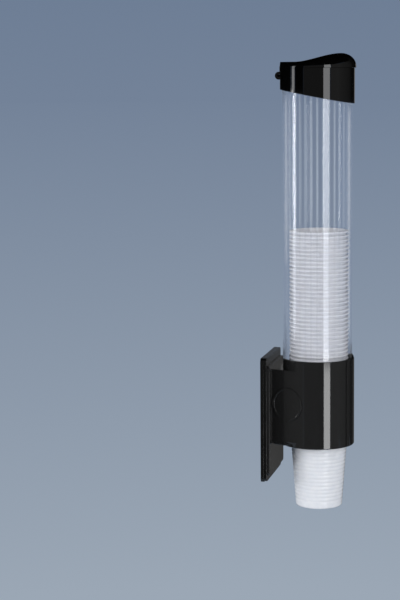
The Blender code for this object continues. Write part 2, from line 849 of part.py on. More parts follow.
def lid_height(forward):
    """Height of the lid's ridge above its lip, at a distance in front of the tube axis."""
    rise = LID_PEAK_HEIGHT - LID_REAR_HEIGHT
    if forward <= LID_PEAK_AT:
        share = (forward - LID_RISE_START) / (LID_PEAK_AT - LID_RISE_START)
        share = min(max(share, 0.0), 1.0)
        return LID_REAR_HEIGHT + rise * share * share * (3 - 2 * share)
    share = (forward - LID_PEAK_AT) / (LID_FORWARD + LID_RADIUS - LID_PEAK_AT)
    return LID_PEAK_HEIGHT * math.sqrt(max(0.0, 1 - share * share))


def dome_ring(shape, radius, share, thinner, floor):
    """One ring of the dome; share is 0 at the rim and 1 at the crown."""
    tilt = share * math.pi / 2
    spread = radius * math.cos(tilt)
    ring = []
    for step in range(LID_STEPS):
        angle = 2 * math.pi * step / LID_STEPS
        ahead = spread * math.cos(angle)
        aside = spread * math.sin(angle)
        width = math.sqrt(max(radius**2 - ahead**2, SMALLEST_SQUARE))
        bulge = min(1.0, radius * math.sin(tilt) / width)
        height = max(0.0, lid_height(ahead + LID_FORWARD) - thinner) * bulge
        place = (-aside, TUBE_AXIS_Y - LID_FORWARD - ahead, floor + height)
        ring.append(shape.verts.new(place))
    return ring


def join_rings(shape, lower, upper):
    count = len(lower)
    for step in range(count):
        following = (step + 1) % count
        shape.faces.new([lower[step], lower[following], upper[following], upper[step]])


def make_lid(materials):
    """A domed shell that rises towards the front, with a knuckle at the rear."""
    seam = COLLAR_TOP + GAP
    lip_top = seam + LID_LIP
    shape = bmesh.new()
    shells = []
    for radius, thinner, floor in (
        (LID_RADIUS, 0.0, lip_top),
        (LID_RADIUS - LID_WALL, LID_WALL, lip_top - LID_CEILING_DROP),
    ):
        rings = [
            dome_ring(shape, radius, level / LID_LEVELS, thinner, floor)
            for level in range(LID_LEVELS)
        ]
        for lower, upper in zip(rings, rings[1:]):
            join_rings(shape, lower, upper)
        shape.faces.new(rings[-1])
        shells.append(rings[0])
    lips = []
    for radius in (LID_RADIUS, LID_RADIUS - LID_WALL):
        ring = dome_ring(shape, radius, 0.0, LID_PEAK_HEIGHT, seam)
        lips.append(ring)
    join_rings(shape, lips[0], shells[0])
    join_rings(shape, lips[1], shells[1])
    join_rings(shape, lips[0], lips[1])
    lid = add_object("lid", shape, materials["cap"])
    knuckle = rod(
        "knuckle",
        (-KNUCKLE_HALF_WIDTH, HINGE_Y, HINGE_Z),
        (KNUCKLE_HALF_WIDTH, HINGE_Y, HINGE_Z),
        KNUCKLE_RADIUS,
        steps=KNUCKLE_STEPS,
    )
    arm = block(
        "arm",
        (-KNUCKLE_HALF_WIDTH, HINGE_Y - ARM_FRONT, HINGE_Z),
        (KNUCKLE_HALF_WIDTH, HINGE_Y + ARM_BACK, lip_top + ARM_INTO_LID),
    )
    unite(lid, knuckle, arm)
    cut(
        lid,
        rod(
            "pin_hole",
            (-LUG_OUTER, HINGE_Y, HINGE_Z),
            (LUG_OUTER, HINGE_Y, HINGE_Z),
            PIN_RADIUS + GAP,
        ),
    )
    axis = Matrix.Translation((0, HINGE_Y, HINGE_Z))
    lid.data.transform(axis.inverted())
    lid.matrix_world = axis
    rod(
        "hinge_pin",
        (-PIN_HALF_LENGTH, HINGE_Y, HINGE_Z),
        (PIN_HALF_LENGTH, HINGE_Y, HINGE_Z),
        PIN_RADIUS,
        materials["steel"],
    )


def main():
    clear_scene()
    materials = {
        "plate": finish("black_abs_textured", (0.012, 0.012, 0.012), 0.50),
        "body": finish("black_abs_satin", (0.010, 0.010, 0.011), 0.32),
        "cap": finish("black_abs_gloss", (0.006, 0.006, 0.007), 0.22),
        "magnet": finish("nickel_plate", (0.60, 0.58, 0.54), 0.25, 1.0),
        "steel": finish("zinc_plated_steel", (0.56, 0.57, 0.58), 0.35, 1.0),
        "gate": finish("black_polypropylene", (0.015, 0.015, 0.015), 0.55),
        "finger": finish("black_elastomer", (0.020, 0.020, 0.020), 0.70),
        "clear": finish("clear_polystyrene", (0.85, 0.90, 0.97), 0.05, 0.0, 0.30),
        "cup": finish("white_polypropylene", (0.62, 0.66, 0.74), 0.35),
    }
    make_wall_plate(materials)
    make_plate_screws(materials)
    make_bracket_body(materials)
    make_side_discs(materials)
    make_front_trim(materials)
    make_gate(materials)
    make_tube(materials)
    make_cups(materials)
    make_collar(materials)
    make_lid(materials)


main()
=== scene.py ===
import math

import bmesh
import bpy
from mathutils import Matrix, Vector


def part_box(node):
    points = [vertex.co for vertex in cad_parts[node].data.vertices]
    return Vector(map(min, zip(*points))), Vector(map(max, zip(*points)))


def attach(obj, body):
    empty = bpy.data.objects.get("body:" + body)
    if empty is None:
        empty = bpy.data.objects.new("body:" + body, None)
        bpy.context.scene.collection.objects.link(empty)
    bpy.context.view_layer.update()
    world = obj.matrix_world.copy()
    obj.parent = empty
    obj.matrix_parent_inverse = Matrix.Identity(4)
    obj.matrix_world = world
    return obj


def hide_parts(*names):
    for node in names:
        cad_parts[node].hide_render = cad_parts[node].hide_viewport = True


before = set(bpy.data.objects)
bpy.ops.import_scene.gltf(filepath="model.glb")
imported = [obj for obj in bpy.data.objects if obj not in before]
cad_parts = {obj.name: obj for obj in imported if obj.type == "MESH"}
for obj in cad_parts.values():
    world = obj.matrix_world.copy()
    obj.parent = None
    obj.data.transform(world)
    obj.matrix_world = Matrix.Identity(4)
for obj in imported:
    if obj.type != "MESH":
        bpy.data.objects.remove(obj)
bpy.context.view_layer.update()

mm = 0.001
closeBy = 0.1 * mm  # how near an edge or corner is to a place to count as being there
scene = bpy.context.scene

# The tube's upright axis and the cups' own, from the frame. Front is -Y, and the wall is at y = 0.
tubeLow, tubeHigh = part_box("cup_tube")
tubeAxisY = (tubeLow.y + tubeHigh.y) / 2
cupLow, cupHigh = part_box("cup_bottom")
cupAxisY = (cupLow.y + cupHigh.y) / 2


# Modelling steps that every piece uses

def deselectAll():
    if bpy.context.object and bpy.context.object.mode != "OBJECT":
        bpy.ops.object.mode_set(mode="OBJECT")
    bpy.ops.object.select_all(action="DESELECT")


def activate(piece):
    deselectAll()
    piece.select_set(True)
    bpy.context.view_layer.objects.active = piece


def nameActive(name):
    piece = bpy.context.active_object
    piece.name = name
    piece.data.name = name
    return piece


def freeze():
    # puts the active piece's place, turn and size into its mesh
    bpy.ops.object.transform_apply(location=True, rotation=True, scale=True)


def startEdit(piece):
    activate(piece)
    bpy.ops.object.mode_set(mode="EDIT")


def stopEdit():
    bpy.ops.object.mode_set(mode="OBJECT")


def selectAll():
    bpy.ops.mesh.select_all(action="SELECT")


def pick(kind, test):
    # selects the vertices, edges or faces of the piece in edit mode that pass a test
    bpy.ops.mesh.select_mode(type=kind)
    bpy.ops.mesh.select_all(action="DESELECT")
    mesh = bmesh.from_edit_mesh(bpy.context.edit_object.data)
    parts = {"VERT": mesh.verts, "EDGE": mesh.edges, "FACE": mesh.faces}[kind]
    for part in parts:
        if test(part):
            part.select_set(True)
    mesh.select_flush_mode()
    bmesh.update_edit_mesh(bpy.context.edit_object.data)


def extrudeBy(move):
    bpy.ops.mesh.extrude_region_move(TRANSFORM_OT_translate={"value": move})


def bevelEdges(width, segments, test):
    # rounds the edges that pass a test, in edit mode
    pick("EDGE", test)
    bpy.ops.mesh.bevel(offset=width, segments=segments, affect="EDGES")


def along(edge):
    return (edge.verts[1].co - edge.verts[0].co).normalized()


def middle(edge):
    return (edge.verts[0].co + edge.verts[1].co) / 2


def traceOutline(name, points, closed=True):
    # one point, pushed from corner to corner by extruding it
    deselectAll()
    bpy.ops.mesh.primitive_plane_add(size=mm)
    piece = nameActive(name)
    bpy.ops.object.mode_set(mode="EDIT")
    bpy.ops.mesh.select_mode(type="VERT")
    selectAll()
    bpy.ops.mesh.merge(type="CENTER")
    bpy.ops.transform.translate(value=points[0])
    for here, there in zip(points, points[1:]):
        step = Vector(there) - Vector(here)
        extrudeBy(step)
    selectAll()
    if closed:
        bpy.ops.mesh.edge_face_add()
    return piece


def tidyShell():
    selectAll()
    bpy.ops.mesh.remove_doubles(threshold=0.002 * mm)
    bpy.ops.mesh.normals_make_consistent(inside=False)


def spinRound(name, profile, axisY, steps, closed=True):
    # a lathe: (radius, height) points turned about the upright line at axisY
    piece = traceOutline(name, [(radius, axisY, height) for radius, height in profile], closed)
    if closed:
        bpy.ops.mesh.delete(type="ONLY_FACE")
        selectAll()
    bpy.ops.mesh.spin(steps=steps, angle=math.tau, center=(0, axisY, 0), axis=(0, 0, 1))
    tidyShell()
    stopEdit()
    return piece


def raiseOutline(name, points, height):
    # a flat outline lifted straight up into a solid
    piece = traceOutline(name, points)
    extrudeBy((0, 0, height))
    tidyShell()
    stopEdit()
    return piece


def addBlock(name, low, high):
    deselectAll()
    low, high = Vector(low), Vector(high)
    bpy.ops.mesh.primitive_cube_add(size=1, location=(low + high) / 2)
    piece = nameActive(name)
    piece.scale = high - low
    freeze()
    return piece


def addRod(name, start, end, radius, sides=64):
    deselectAll()
    start, end = Vector(start), Vector(end)
    bpy.ops.mesh.primitive_cylinder_add(
        vertices=sides,
        radius=radius,
        depth=(end - start).length,
        location=(start + end) / 2,
        rotation=(end - start).to_track_quat("Z", "Y").to_euler(),
    )
    piece = nameActive(name)
    freeze()
    return piece


def addSlab(name, width, height, backY, frontY, corner, edge):
    # an upright slab parallel to the wall, with round corners and a rounded front edge
    slab = addBlock(name, (-width / 2, frontY, -height / 2), (width / 2, backY, height / 2))
    startEdit(slab)
    bevelEdges(corner, 8, lambda e: abs(along(e).y) > 0.9)
    bevelEdges(edge, 3, lambda e: all(abs(v.co.y - frontY) < 0.01 * mm for v in e.verts))
    stopEdit()
    return slab


def applyModifier(piece, kind, **settings):
    activate(piece)
    change = piece.modifiers.new(kind.title(), kind)
    for setting, value in settings.items():
        setattr(change, setting, value)
    bpy.ops.object.modifier_apply(modifier=change.name)


def joinSolids(piece, *others):
    for other in others:
        applyModifier(piece, "BOOLEAN", operation="UNION", solver="EXACT", object=other)
        bpy.data.objects.remove(other, do_unlink=True)


def cutAway(piece, *tools):
    for tool in tools:
        applyModifier(piece, "BOOLEAN", operation="DIFFERENCE", solver="EXACT", object=tool)
        bpy.data.objects.remove(tool, do_unlink=True)


def roundEdges(piece, width, segments=3, angle=30):
    applyModifier(
        piece, "BEVEL", width=width, segments=segments, limit_method="ANGLE",
        angle_limit=math.radians(angle), use_clamp_overlap=True,
    )


def copyPiece(piece, name):
    made = piece.copy()
    made.data = piece.data.copy()
    made.name = made.data.name = name
    scene.collection.objects.link(made)
    return made


def settle(piece, material, nodes, body="dispenser", smooth=40, weighted=True):
    # shades a finished piece, gives it its finish, hangs it on its body and hides the CAD parts it
    # stands for
    activate(piece)
    freeze()
    bpy.ops.object.shade_smooth_by_angle(angle=math.radians(smooth))
    if weighted:
        applyModifier(piece, "WEIGHTED_NORMAL", keep_sharp=True)
    piece.data.materials.clear()
    piece.data.materials.append(material)
    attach(piece, body)
    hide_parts(*nodes)


def onArc(radius, angle, height):
    # a point round the tube; the angle is from the front, positive towards -X
    return Vector((-radius * math.sin(angle), tubeAxisY - radius * math.cos(angle), height))


def arcPoints(radius, start, end, steps, height=0.0):
    return [
        onArc(radius, start + (end - start) * step / steps, height) for step in range(steps + 1)
    ]


# Materials

def linear(hexColour):
    # sRGB hex to the linear colour that a shader takes
    def channel(value):
        value /= 255
        return value / 12.92 if value <= 0.04045 else ((value + 0.055) / 1.055) ** 2.4
    return tuple(channel(int(hexColour[place:place + 2], 16)) for place in (0, 2, 4)) + (1.0,)


def addNode(tree, kind, settings=None, links=None, give=0):
    # one node with its settings and what feeds its sockets; gives back one of its outputs
    made = tree.nodes.new("ShaderNode" + kind)
    for name, value in (settings or {}).items():
        if isinstance(name, int) or name in made.inputs:
            made.inputs[name].default_value = value
        else:
            setattr(made, name, value)
    for socket, source in (links or {}).items():
        tree.links.new(source, made.inputs[socket])
    return made.outputs[give] if len(made.outputs) else None


def startMaterial(name):
    made = bpy.data.materials.new(name)
    made.use_nodes = True
    made.node_tree.nodes.clear()
    return made, made.node_tree


def wearSurface(tree, look, marks, toneFrom, toneTo, dullFrom, dullTo):
    # where the marks are strong, the colour turns to its worn tone and the gloss dulls
    strong = addNode(tree, "MapRange", {"From Min": toneFrom, "From Max": toneTo}, {"Value": marks})
    tone = addNode(
        tree, "Mix", {"data_type": "RGBA", 6: linear(look["colour"]), 7: linear(look["wearAndSheen"])},
        {0: strong}, 2,
    )
    smooth, dull = look["roughness"]
    rough = addNode(
        tree, "MapRange",
        {"From Min": dullFrom, "From Max": dullTo, "To Min": smooth, "To Max": dull},
        {"Value": marks},
    )
    return tone, rough


def mouldedPlastic(name, look):
    # ABS or polypropylene from a mould: fine grain or polish, slow waves and handling marks
    made, tree = startMaterial(name)
    place = addNode(tree, "TexCoord", give="Object")
    grain, wave, marks = (
        addNode(
            tree, "TexNoise", {"Scale": 1 / look[pattern], "Detail": detail, "Roughness": rough},
            {"Vector": place},
        )
        for pattern, detail, rough in (("grain", 3.0, 0.6), ("wave", 1.0, 0.5), ("marks", 6.0, 0.7))
    )
    tone, rough = wearSurface(tree, look, marks, 0.55, 0.80, 0.35, 0.65)
    slow = addNode(tree, "Bump", {"Distance": look["waveDepth"]}, {"Height": wave})
    fine = addNode(
        tree, "Bump", {"Distance": look["grainDepth"]}, {"Height": grain, "Normal": slow},
    )
    shader = addNode(
        tree, "BsdfPrincipled", {"IOR": look["ior"]},
        {"Base Color": tone, "Roughness": rough, "Normal": fine},
    )
    addNode(tree, "OutputMaterial", links={"Surface": shader})
    return made


# Injection-moulded black ABS from a fine satin mould: deep charcoal, lamps show with soft edges.
# Its real orange peel is finer, and is drawn coarser to show.
satinLook = {
    "colour": "1a1a1a", "wearAndSheen": "1e1e1e", "roughness": (0.055, 0.075), "ior": 1.50,
    "grain": 0.6 * mm, "grainDepth": 0.0004 * mm,
    "wave": 30 * mm, "waveDepth": 0.004 * mm, "marks": 14 * mm,
}
# The same ABS from a polished mould, on the cap: near black, and lamps stay sharp in it
glossLook = {
    "colour": "030303", "wearAndSheen": "050505", "roughness": (0.03, 0.045), "ior": 1.50,
    "grain": 0.6 * mm, "grainDepth": 0.0002 * mm,
    "wave": 24 * mm, "waveDepth": 0.004 * mm, "marks": 14 * mm,
}
# The wall plate is black ABS from a textured mould, which dulls what it mirrors
plateLook = {
    "colour": "080807", "wearAndSheen": "0c0c0b", "roughness": (0.17, 0.21), "ior": 1.54,
    "grain": 0.7 * mm, "grainDepth": 0.0015 * mm,
    "wave": 30 * mm, "waveDepth": 0.04 * mm, "marks": 7 * mm,
}
# Natural black polypropylene of the gate ring: waxy and a little grey
gateLook = {
    "colour": "1f1f1f", "wearAndSheen": "292929", "roughness": (0.45, 0.58), "ior": 1.49,
    "grain": 0.8 * mm, "grainDepth": 0.008 * mm,
    "wave": 14 * mm, "waveDepth": 0.04 * mm, "marks": 5 * mm,
}
# Moulded thermoplastic elastomer of the fingers: dull and slightly dusty
fingerLook = {
    "colour": "262626", "wearAndSheen": "343332", "roughness": (0.62, 0.78), "ior": 1.50,
    "grain": 0.6 * mm, "grainDepth": 0.015 * mm,
    "wave": 8 * mm, "waveDepth": 0.05 * mm, "marks": 3 * mm,
}


def platedMetal(name, look):
    # bright plating over steel: a fine grain under it, and stains in the gloss
    made, tree = startMaterial(name)
    place = addNode(tree, "TexCoord", give="Object")
    stain, grain = (
        addNode(tree, "TexNoise", {"Scale": 1 / look[pattern], "Detail": detail}, {"Vector": place})
        for pattern, detail in (("stain", 5.0), ("grain", 2.0))
    )
    tone, rough = wearSurface(tree, look, stain, 0.45, 0.75, 0.35, 0.70)
    bump = addNode(tree, "Bump", {"Distance": look["grainDepth"]}, {"Height": grain})
    shader = addNode(
        tree, "BsdfPrincipled", {"Metallic": 1.0},
        {"Base Color": tone, "Roughness": rough, "Normal": bump},
    )
    addNode(tree, "OutputMaterial", links={"Surface": shader})
    return made


# Nickel plate on a neodymium magnet: warm and mirror-like
nickelLook = {
    "colour": "c9c3b8", "wearAndSheen": "aaa498", "roughness": (0.14, 0.28),
    "stain": 6 * mm, "grain": 0.5 * mm, "grainDepth": 0.002 * mm,
}
# Blue-white zinc plate on the screws: cooler, and duller than nickel
zincLook = {
    "colour": "b4b8bd", "wearAndSheen": "8b9197", "roughness": (0.28, 0.44),
    "stain": 2.5 * mm, "grain": 0.4 * mm, "grainDepth": 0.004 * mm,
}
# Black oxide on the hinge pin: a dark, oily steel
oxideLook = {
    "colour": "17181a", "wearAndSheen": "0e0e0f", "roughness": (0.30, 0.42),
    "stain": 2 * mm, "grain": 0.4 * mm, "grainDepth": 0.003 * mm,
}


def clearPlastic(name, look):
    # extruded polystyrene as a thin clear wall: it mirrors more towards its edges and bends nothing
    made, tree = startMaterial(name)
    place = addNode(tree, "TexCoord", give="Object")
    stretched = addNode(tree, "Mapping", {"Scale": (1.0, 1.0, look["drawn"])}, {"Vector": place})
    drawLines = addNode(tree, "TexNoise", {"Scale": 1 / look["line"]}, {"Vector": stretched})
    bump = addNode(tree, "Bump", {"Distance": look["lineDepth"]}, {"Height": drawLines})
    # the share that a clear wall mirrors: little when looked at squarely, all at a glance
    facing = addNode(tree, "LayerWeight", {"Blend": 0.5}, give="Facing")
    slanted = addNode(tree, "Math", {"operation": "POWER", 1: 5.0}, {0: facing})
    square = addNode(tree, "MapRange", {"To Min": look["mirrored"]}, {"Value": slanted})
    # light that already came through the near wall finds the far one in its haze, and mirrors less
    rays = addNode(tree, "LightPath").node.outputs
    dimmed = addNode(
        tree, "MapRange",
        {"From Min": 1.0, "From Max": 2.0, "To Min": 1.0, "To Max": look["farWall"]},
        {"Value": rays["Transparent Depth"]},
    )
    share = addNode(tree, "Math", {"operation": "MULTIPLY"}, {0: square, 1: dimmed})
    shine = addNode(
        tree, "BsdfAnisotropic", {"Color": linear(look["colour"]), "Roughness": look["roughness"]},
        {"Normal": bump},
    )
    through = addNode(tree, "BsdfTransparent", {"Color": linear(look["shade"])})
    clear = addNode(tree, "MixShader", links={0: share, 1: through, 2: shine})
    # painted highlight: the crests of the ridges are painted faintly white, standing in for the
    # light the ridges mirror and bend; the painted white varies at random along the draw lines and
    # is strongest above the cups
    parts = addNode(tree, "SeparateXYZ", links={0: place}).node.outputs
    ahead = addNode(tree, "Math", {"operation": "SUBTRACT", 0: tubeAxisY}, {1: parts["Y"]})
    sideways = addNode(tree, "Math", {"operation": "MULTIPLY", 1: -1.0}, {0: parts["X"]})
    ridges = addNode(tree, "Math", {"operation": "ARCTAN2"}, {0: sideways, 1: ahead})
    for settings in (
        {"operation": "SUBTRACT", 1: look["turn"]}, {"operation": "MULTIPLY", 1: look["flutes"]},
        {"operation": "COSINE"},
    ):
        ridges = addNode(tree, "Math", settings, {0: ridges})
    crests = addNode(
        tree, "MapRange", {"From Min": look["crestFrom"], "From Max": look["crestTo"]},
        {"Value": ridges},
    )
    shineVariation = addNode(
        tree, "MapRange",
        {"From Min": 0.35, "From Max": 0.65, "To Min": look["paintedShineLow"], "To Max": look["paintedShineHigh"]},
        {"Value": drawLines},
    )
    shineByHeight = addNode(
        tree, "MapRange",
        {"From Min": look["paintedShineFadeLow"], "From Max": look["paintedShineFadeHigh"], "To Min": look["paintedShineLeast"]},
        {"Value": parts["Z"]},
    )
    wearAndSheen = addNode(tree, "Math", {"operation": "MULTIPLY"}, {0: shineByHeight, 1: shineVariation})
    paintedShineShare = addNode(tree, "Math", {"operation": "MULTIPLY"}, {0: crests, 1: wearAndSheen})
    # the painted highlight itself: a white on the crests that the lamps light
    crestHighlight = addNode(tree, "BsdfDiffuse", {"Color": linear(look["crestHighlight"])})
    ribbed = addNode(tree, "MixShader", links={0: paintedShineShare, 1: clear, 2: crestHighlight})
    # the lamps reach the cups through the wall without stripes of shade
    shader = addNode(tree, "MixShader", links={0: rays["Is Shadow Ray"], 1: ribbed, 2: through})
    addNode(tree, "OutputMaterial", links={"Surface": shader})
    return made


# Clear general-purpose polystyrene, extruded: bright, hard reflections, faint lines along the draw
tubeLook = {
    "colour": "fbfcfe", "shade": "fdfdfe", "roughness": 0.09, "mirrored": 0.05, "farWall": 0.15,
    "line": 3 * mm, "lineDepth": 0.00001 * mm, "drawn": 0.004,
    "flutes": 36, "turn": math.radians(1.6), "crestFrom": 0.40, "crestTo": 0.90,
    # the painted highlight on the ridges' crests: its white, its strength, and how it fades down
    # over the cups
    "crestHighlight": "e4eff5", "paintedShineLow": 0.06, "paintedShineHigh": 0.09,
    "paintedShineFadeLow": 0.20, "paintedShineFadeHigh": 0.24, "paintedShineLeast": 0.25,
}


def cupPlastic(name, look):
    # thin white polypropylene, vacuum formed: milky, lets some light through, a soft sheen
    made, tree = startMaterial(name)
    place = addNode(tree, "TexCoord", give="Object")
    cloud = addNode(
        tree, "TexNoise", {"Scale": 1 / look["cloud"], "Detail": 3.0}, {"Vector": place},
    )
    tone, rough = wearSurface(tree, look, cloud, 0.35, 0.70, 0.3, 0.7)
    bump = addNode(tree, "Bump", {"Distance": look["cloudDepth"]}, {"Height": cloud})
    front = addNode(
        tree, "BsdfPrincipled", {"IOR": look["ior"]},
        {"Base Color": tone, "Roughness": rough, "Normal": bump},
    )
    glow = addNode(tree, "BsdfTranslucent", links={"Color": tone})
    shader = addNode(tree, "MixShader", {0: look["through"]}, {1: front, 2: glow})
    addNode(tree, "OutputMaterial", links={"Surface": shader})
    return made


# Thermoformed white polypropylene of a 200 ml vending cup, with a wall of 0.3 mm
cupLook = {
    "colour": "e6e7ea", "wearAndSheen": "e0e2e7", "roughness": (0.12, 0.16), "ior": 1.49,
    "cloud": 7 * mm, "cloudDepth": 0.003 * mm, "through": 0.20,
}

satinAbs = mouldedPlastic("moulded_black_abs_satin", satinLook)
glossAbs = mouldedPlastic("moulded_black_abs_polished", glossLook)
plateAbs = mouldedPlastic("moulded_black_abs_textured", plateLook)
gatePlastic = mouldedPlastic("moulded_black_polypropylene", gateLook)
fingerRubber = mouldedPlastic("moulded_black_elastomer", fingerLook)
nickel = platedMetal("nickel_plated_magnet", nickelLook)
zinc = platedMetal("zinc_plated_steel", zincLook)
blackSteel = platedMetal("black_oxide_steel", oxideLook)
clearStyrene = clearPlastic("extruded_clear_polystyrene", tubeLook)
cupPoly = cupPlastic("thermoformed_white_polypropylene", cupLook)
print("materials made")


# Wall plate with its magnets and screws

plateSizes = {
    "width": 96 * mm, "height": 146 * mm, "thickness": 7.2 * mm,
    "backLayer": 3.6 * mm, "step": 0.9 * mm, "corner": 5 * mm, "crown": 2.4 * mm,
    "flush": 0.15 * mm, "backEdge": 0.2 * mm, "frontEdge": 0.4 * mm,
    "magnetRadius": 10 * mm, "magnetDepth": 2.5 * mm, "magnetX": 34 * mm, "magnetZ": 57 * mm,
    "screwX": 21 * mm, "screwHeights": (-10 * mm, 48 * mm),
    "headRadius": 2.9 * mm, "headDepth": 2.2 * mm, "recess": 0.8 * mm,
    "shankRadius": 1.5 * mm, "tipDepth": 14.7 * mm, "gap": 0.3 * mm,
    "slotReach": 0.62, "slotHalf": 0.13, "slotDepth": 0.55, "metalEdge": 0.35 * mm,
}


def makeWallPlate():
    size = plateSizes
    plate = addSlab(
        "wallPlate", size["width"], size["height"], 0.0, -size["backLayer"],
        size["corner"], size["backEdge"],
    )
    front = addSlab(
        "frontLayer", size["width"] - 2 * size["step"], size["height"] - 2 * size["step"],
        -size["backLayer"] / 2, -size["thickness"], size["corner"] - size["step"],
        size["frontEdge"],
    )
    # the top stands a little higher than the bottom hangs low, and there the layers are near flush
    frontRise = size["crown"] + size["step"] - size["flush"]
    for layer, rise in ((plate, size["crown"]), (front, frontRise)):
        startEdit(layer)
        pick("VERT", lambda v: v.co.z > 0)
        bpy.ops.transform.translate(value=(0, 0, rise))
        stopEdit()
    joinSolids(plate, front)
    gap = size["gap"]
    for name, acrossX, heights, floor, radius, sides in (
        (
            "magnetPocket", size["magnetX"], (-size["magnetZ"], size["magnetZ"]),
            -size["magnetDepth"] - 2 * gap, size["magnetRadius"] + gap, 64,
        ),
        (
            "headPocket", size["screwX"], size["screwHeights"],
            -size["recess"] - size["headDepth"] - gap, size["headRadius"] + gap, 48,
        ),
    ):
        for x in (-acrossX, acrossX):
            for z in heights:
                cutAway(plate, addRod(name, (x, gap, z), (x, floor, z), radius, sides))
    settle(plate, plateAbs, ["wall_plate"])


def setOut(first, name, moves, material, node, smooth=40):
    # the first piece and its copies, each moved to its own place on the plate
    pieces = [first] + [copyPiece(first, f"{name}{number}") for number in (2, 3, 4)]
    for number, (piece, (x, z)) in enumerate(zip(pieces, moves), 1):
        piece.location = (x, 0, z)
        settle(piece, material, [f"{node}_{number}"], smooth=smooth)


def makeMagnets():
    size = plateSizes
    gap = size["gap"]
    start = (-size["magnetX"], -gap, -size["magnetZ"])
    end = (-size["magnetX"], -size["magnetDepth"] - gap, -size["magnetZ"])
    first = addRod("magnet1", start, end, size["magnetRadius"], 72)
    roundEdges(first, size["metalEdge"])
    moves = [(x, z) for z in (0, 2 * size["magnetZ"]) for x in (0, 2 * size["magnetX"])]
    setOut(first, "magnet", moves, nickel, "magnet")


def makeScrews():
    size = plateSizes
    x, z = -size["screwX"], size["screwHeights"][0]
    top = -size["recess"]
    screw = addRod("screw1", (x, top, z), (x, top - size["headDepth"], z), size["headRadius"], 48)
    roundEdges(screw, size["metalEdge"])
    tip = (x, -size["tipDepth"], z)
    joinSolids(screw, addRod("shank", (x, top - mm, z), tip, size["shankRadius"], 32))
    arm, half = size["headRadius"] * size["slotReach"], size["headRadius"] * size["slotHalf"]
    depth = top - size["headDepth"] * size["slotDepth"]
    across = addBlock("slotAcross", (x - arm, depth, z - half), (x + arm, 0, z + half))
    upright = addBlock("slotUpright", (x - half, depth, z - arm), (x + half, 0, z + arm))
    cutAway(screw, across, upright)
    rise = size["screwHeights"][1] - size["screwHeights"][0]
    moves = [(0, 0), (0, rise), (2 * size["screwX"], 0), (2 * size["screwX"], rise)]
    setOut(screw, "screw", moves, zinc, "plate_screw", smooth=30)


makeWallPlate()
makeMagnets()
makeScrews()
print("wall plate, magnets and screws made")


# Bracket: flange, neck and sleeve in one moulding

bracketSizes = {
    "flangeWidth": 92 * mm, "flangeHeight": 131 * mm, "flangeBack": -7.5 * mm,
    "flangeFront": -10.5 * mm, "flangeCorner": 4 * mm, "flangeEdge": 0.3 * mm,
    "radius": 44.3 * mm, "bore": 41.3 * mm, "bottom": -32 * mm, "top": 72 * mm,
    "lipBore": 38.6 * mm, "lipTop": -29.5 * mm, "bottomEdge": 1.2 * mm, "topEdge": 0.6 * mm,
    "neckTop": 60 * mm, "neckHalf": 28 * mm, "belly": 7.5 * mm, "neckEdge": 0.7 * mm,
    "notchBehind": 37 * mm, "notchHalf": 32 * mm, "notchGap": 0.3 * mm, "cutReach": 4 * mm,
    "seatRadius": 43.0 * mm, "seatAngle": math.radians(32.4), "steps": 160,
    "dipHeight": 69.0 * mm, "dipAngle": math.radians(30), "dipInside": 38.3 * mm,
}
discSizes = {
    "radius": 20 * mm, "fromTangent": 15.2 * mm, "height": 19.3 * mm, "seat": 0.9 * mm,
    "proud": 0.9 * mm, "ring": 2.4 * mm, "dish": 0.6 * mm, "gap": 0.3 * mm,
    "flat": 3 * mm, "edge": 0.35 * mm,
}


def neckSide(sign):
    # where a flat side of the neck touches the sleeve, the way back to the flange, and outwards
    size = bracketSizes
    depth = tubeAxisY - size["flangeFront"]
    corner = Vector((sign * size["neckHalf"], size["flangeFront"], 0))
    swing = math.acos(size["radius"] / math.hypot(size["neckHalf"], depth))
    around = math.atan2(-depth, size["neckHalf"]) - swing
    touch = Vector((
        sign * size["radius"] * math.cos(around),
        tubeAxisY + size["radius"] * math.sin(around),
        0,
    ))
    back = (corner - touch).normalized()
    outward = Vector((-back.y, back.x, 0))
    return touch, back, outward if outward.x * sign > 0 else -outward


def discPlace(sign):
    touch, back, outward = neckSide(sign)
    centre = touch + back * discSizes["fromTangent"]
    centre.z = discSizes["height"]
    return centre, outward


def makeNeck():
    size = bracketSizes
    touch, back, outward = neckSide(1)
    rearY = (size["flangeBack"] + size["flangeFront"]) / 2
    rearHalf = (touch + back * ((rearY - touch.y) / back.y)).x
    low = (-rearHalf, touch.y, size["bottom"])
    neck = addBlock("neck", low, (rearHalf, rearY, size["neckTop"]))
    startEdit(neck)
    pick("VERT", lambda v: v.co.y < touch.y + closeBy)
    bpy.ops.transform.resize(
        value=(touch.x / rearHalf, 1, 1), center_override=(0, touch.y, 0),
    )
    bottom, top = size["bottom"] + closeBy, size["neckTop"] - closeBy
    bevelEdges(size["belly"], 14, lambda e: middle(e).z < bottom and middle(e).y > touch.y + mm)
    bevelEdges(size["neckEdge"], 3, lambda e: middle(e).z > top and abs(middle(e).x) > 10 * mm)
    stopEdit()
    return neck


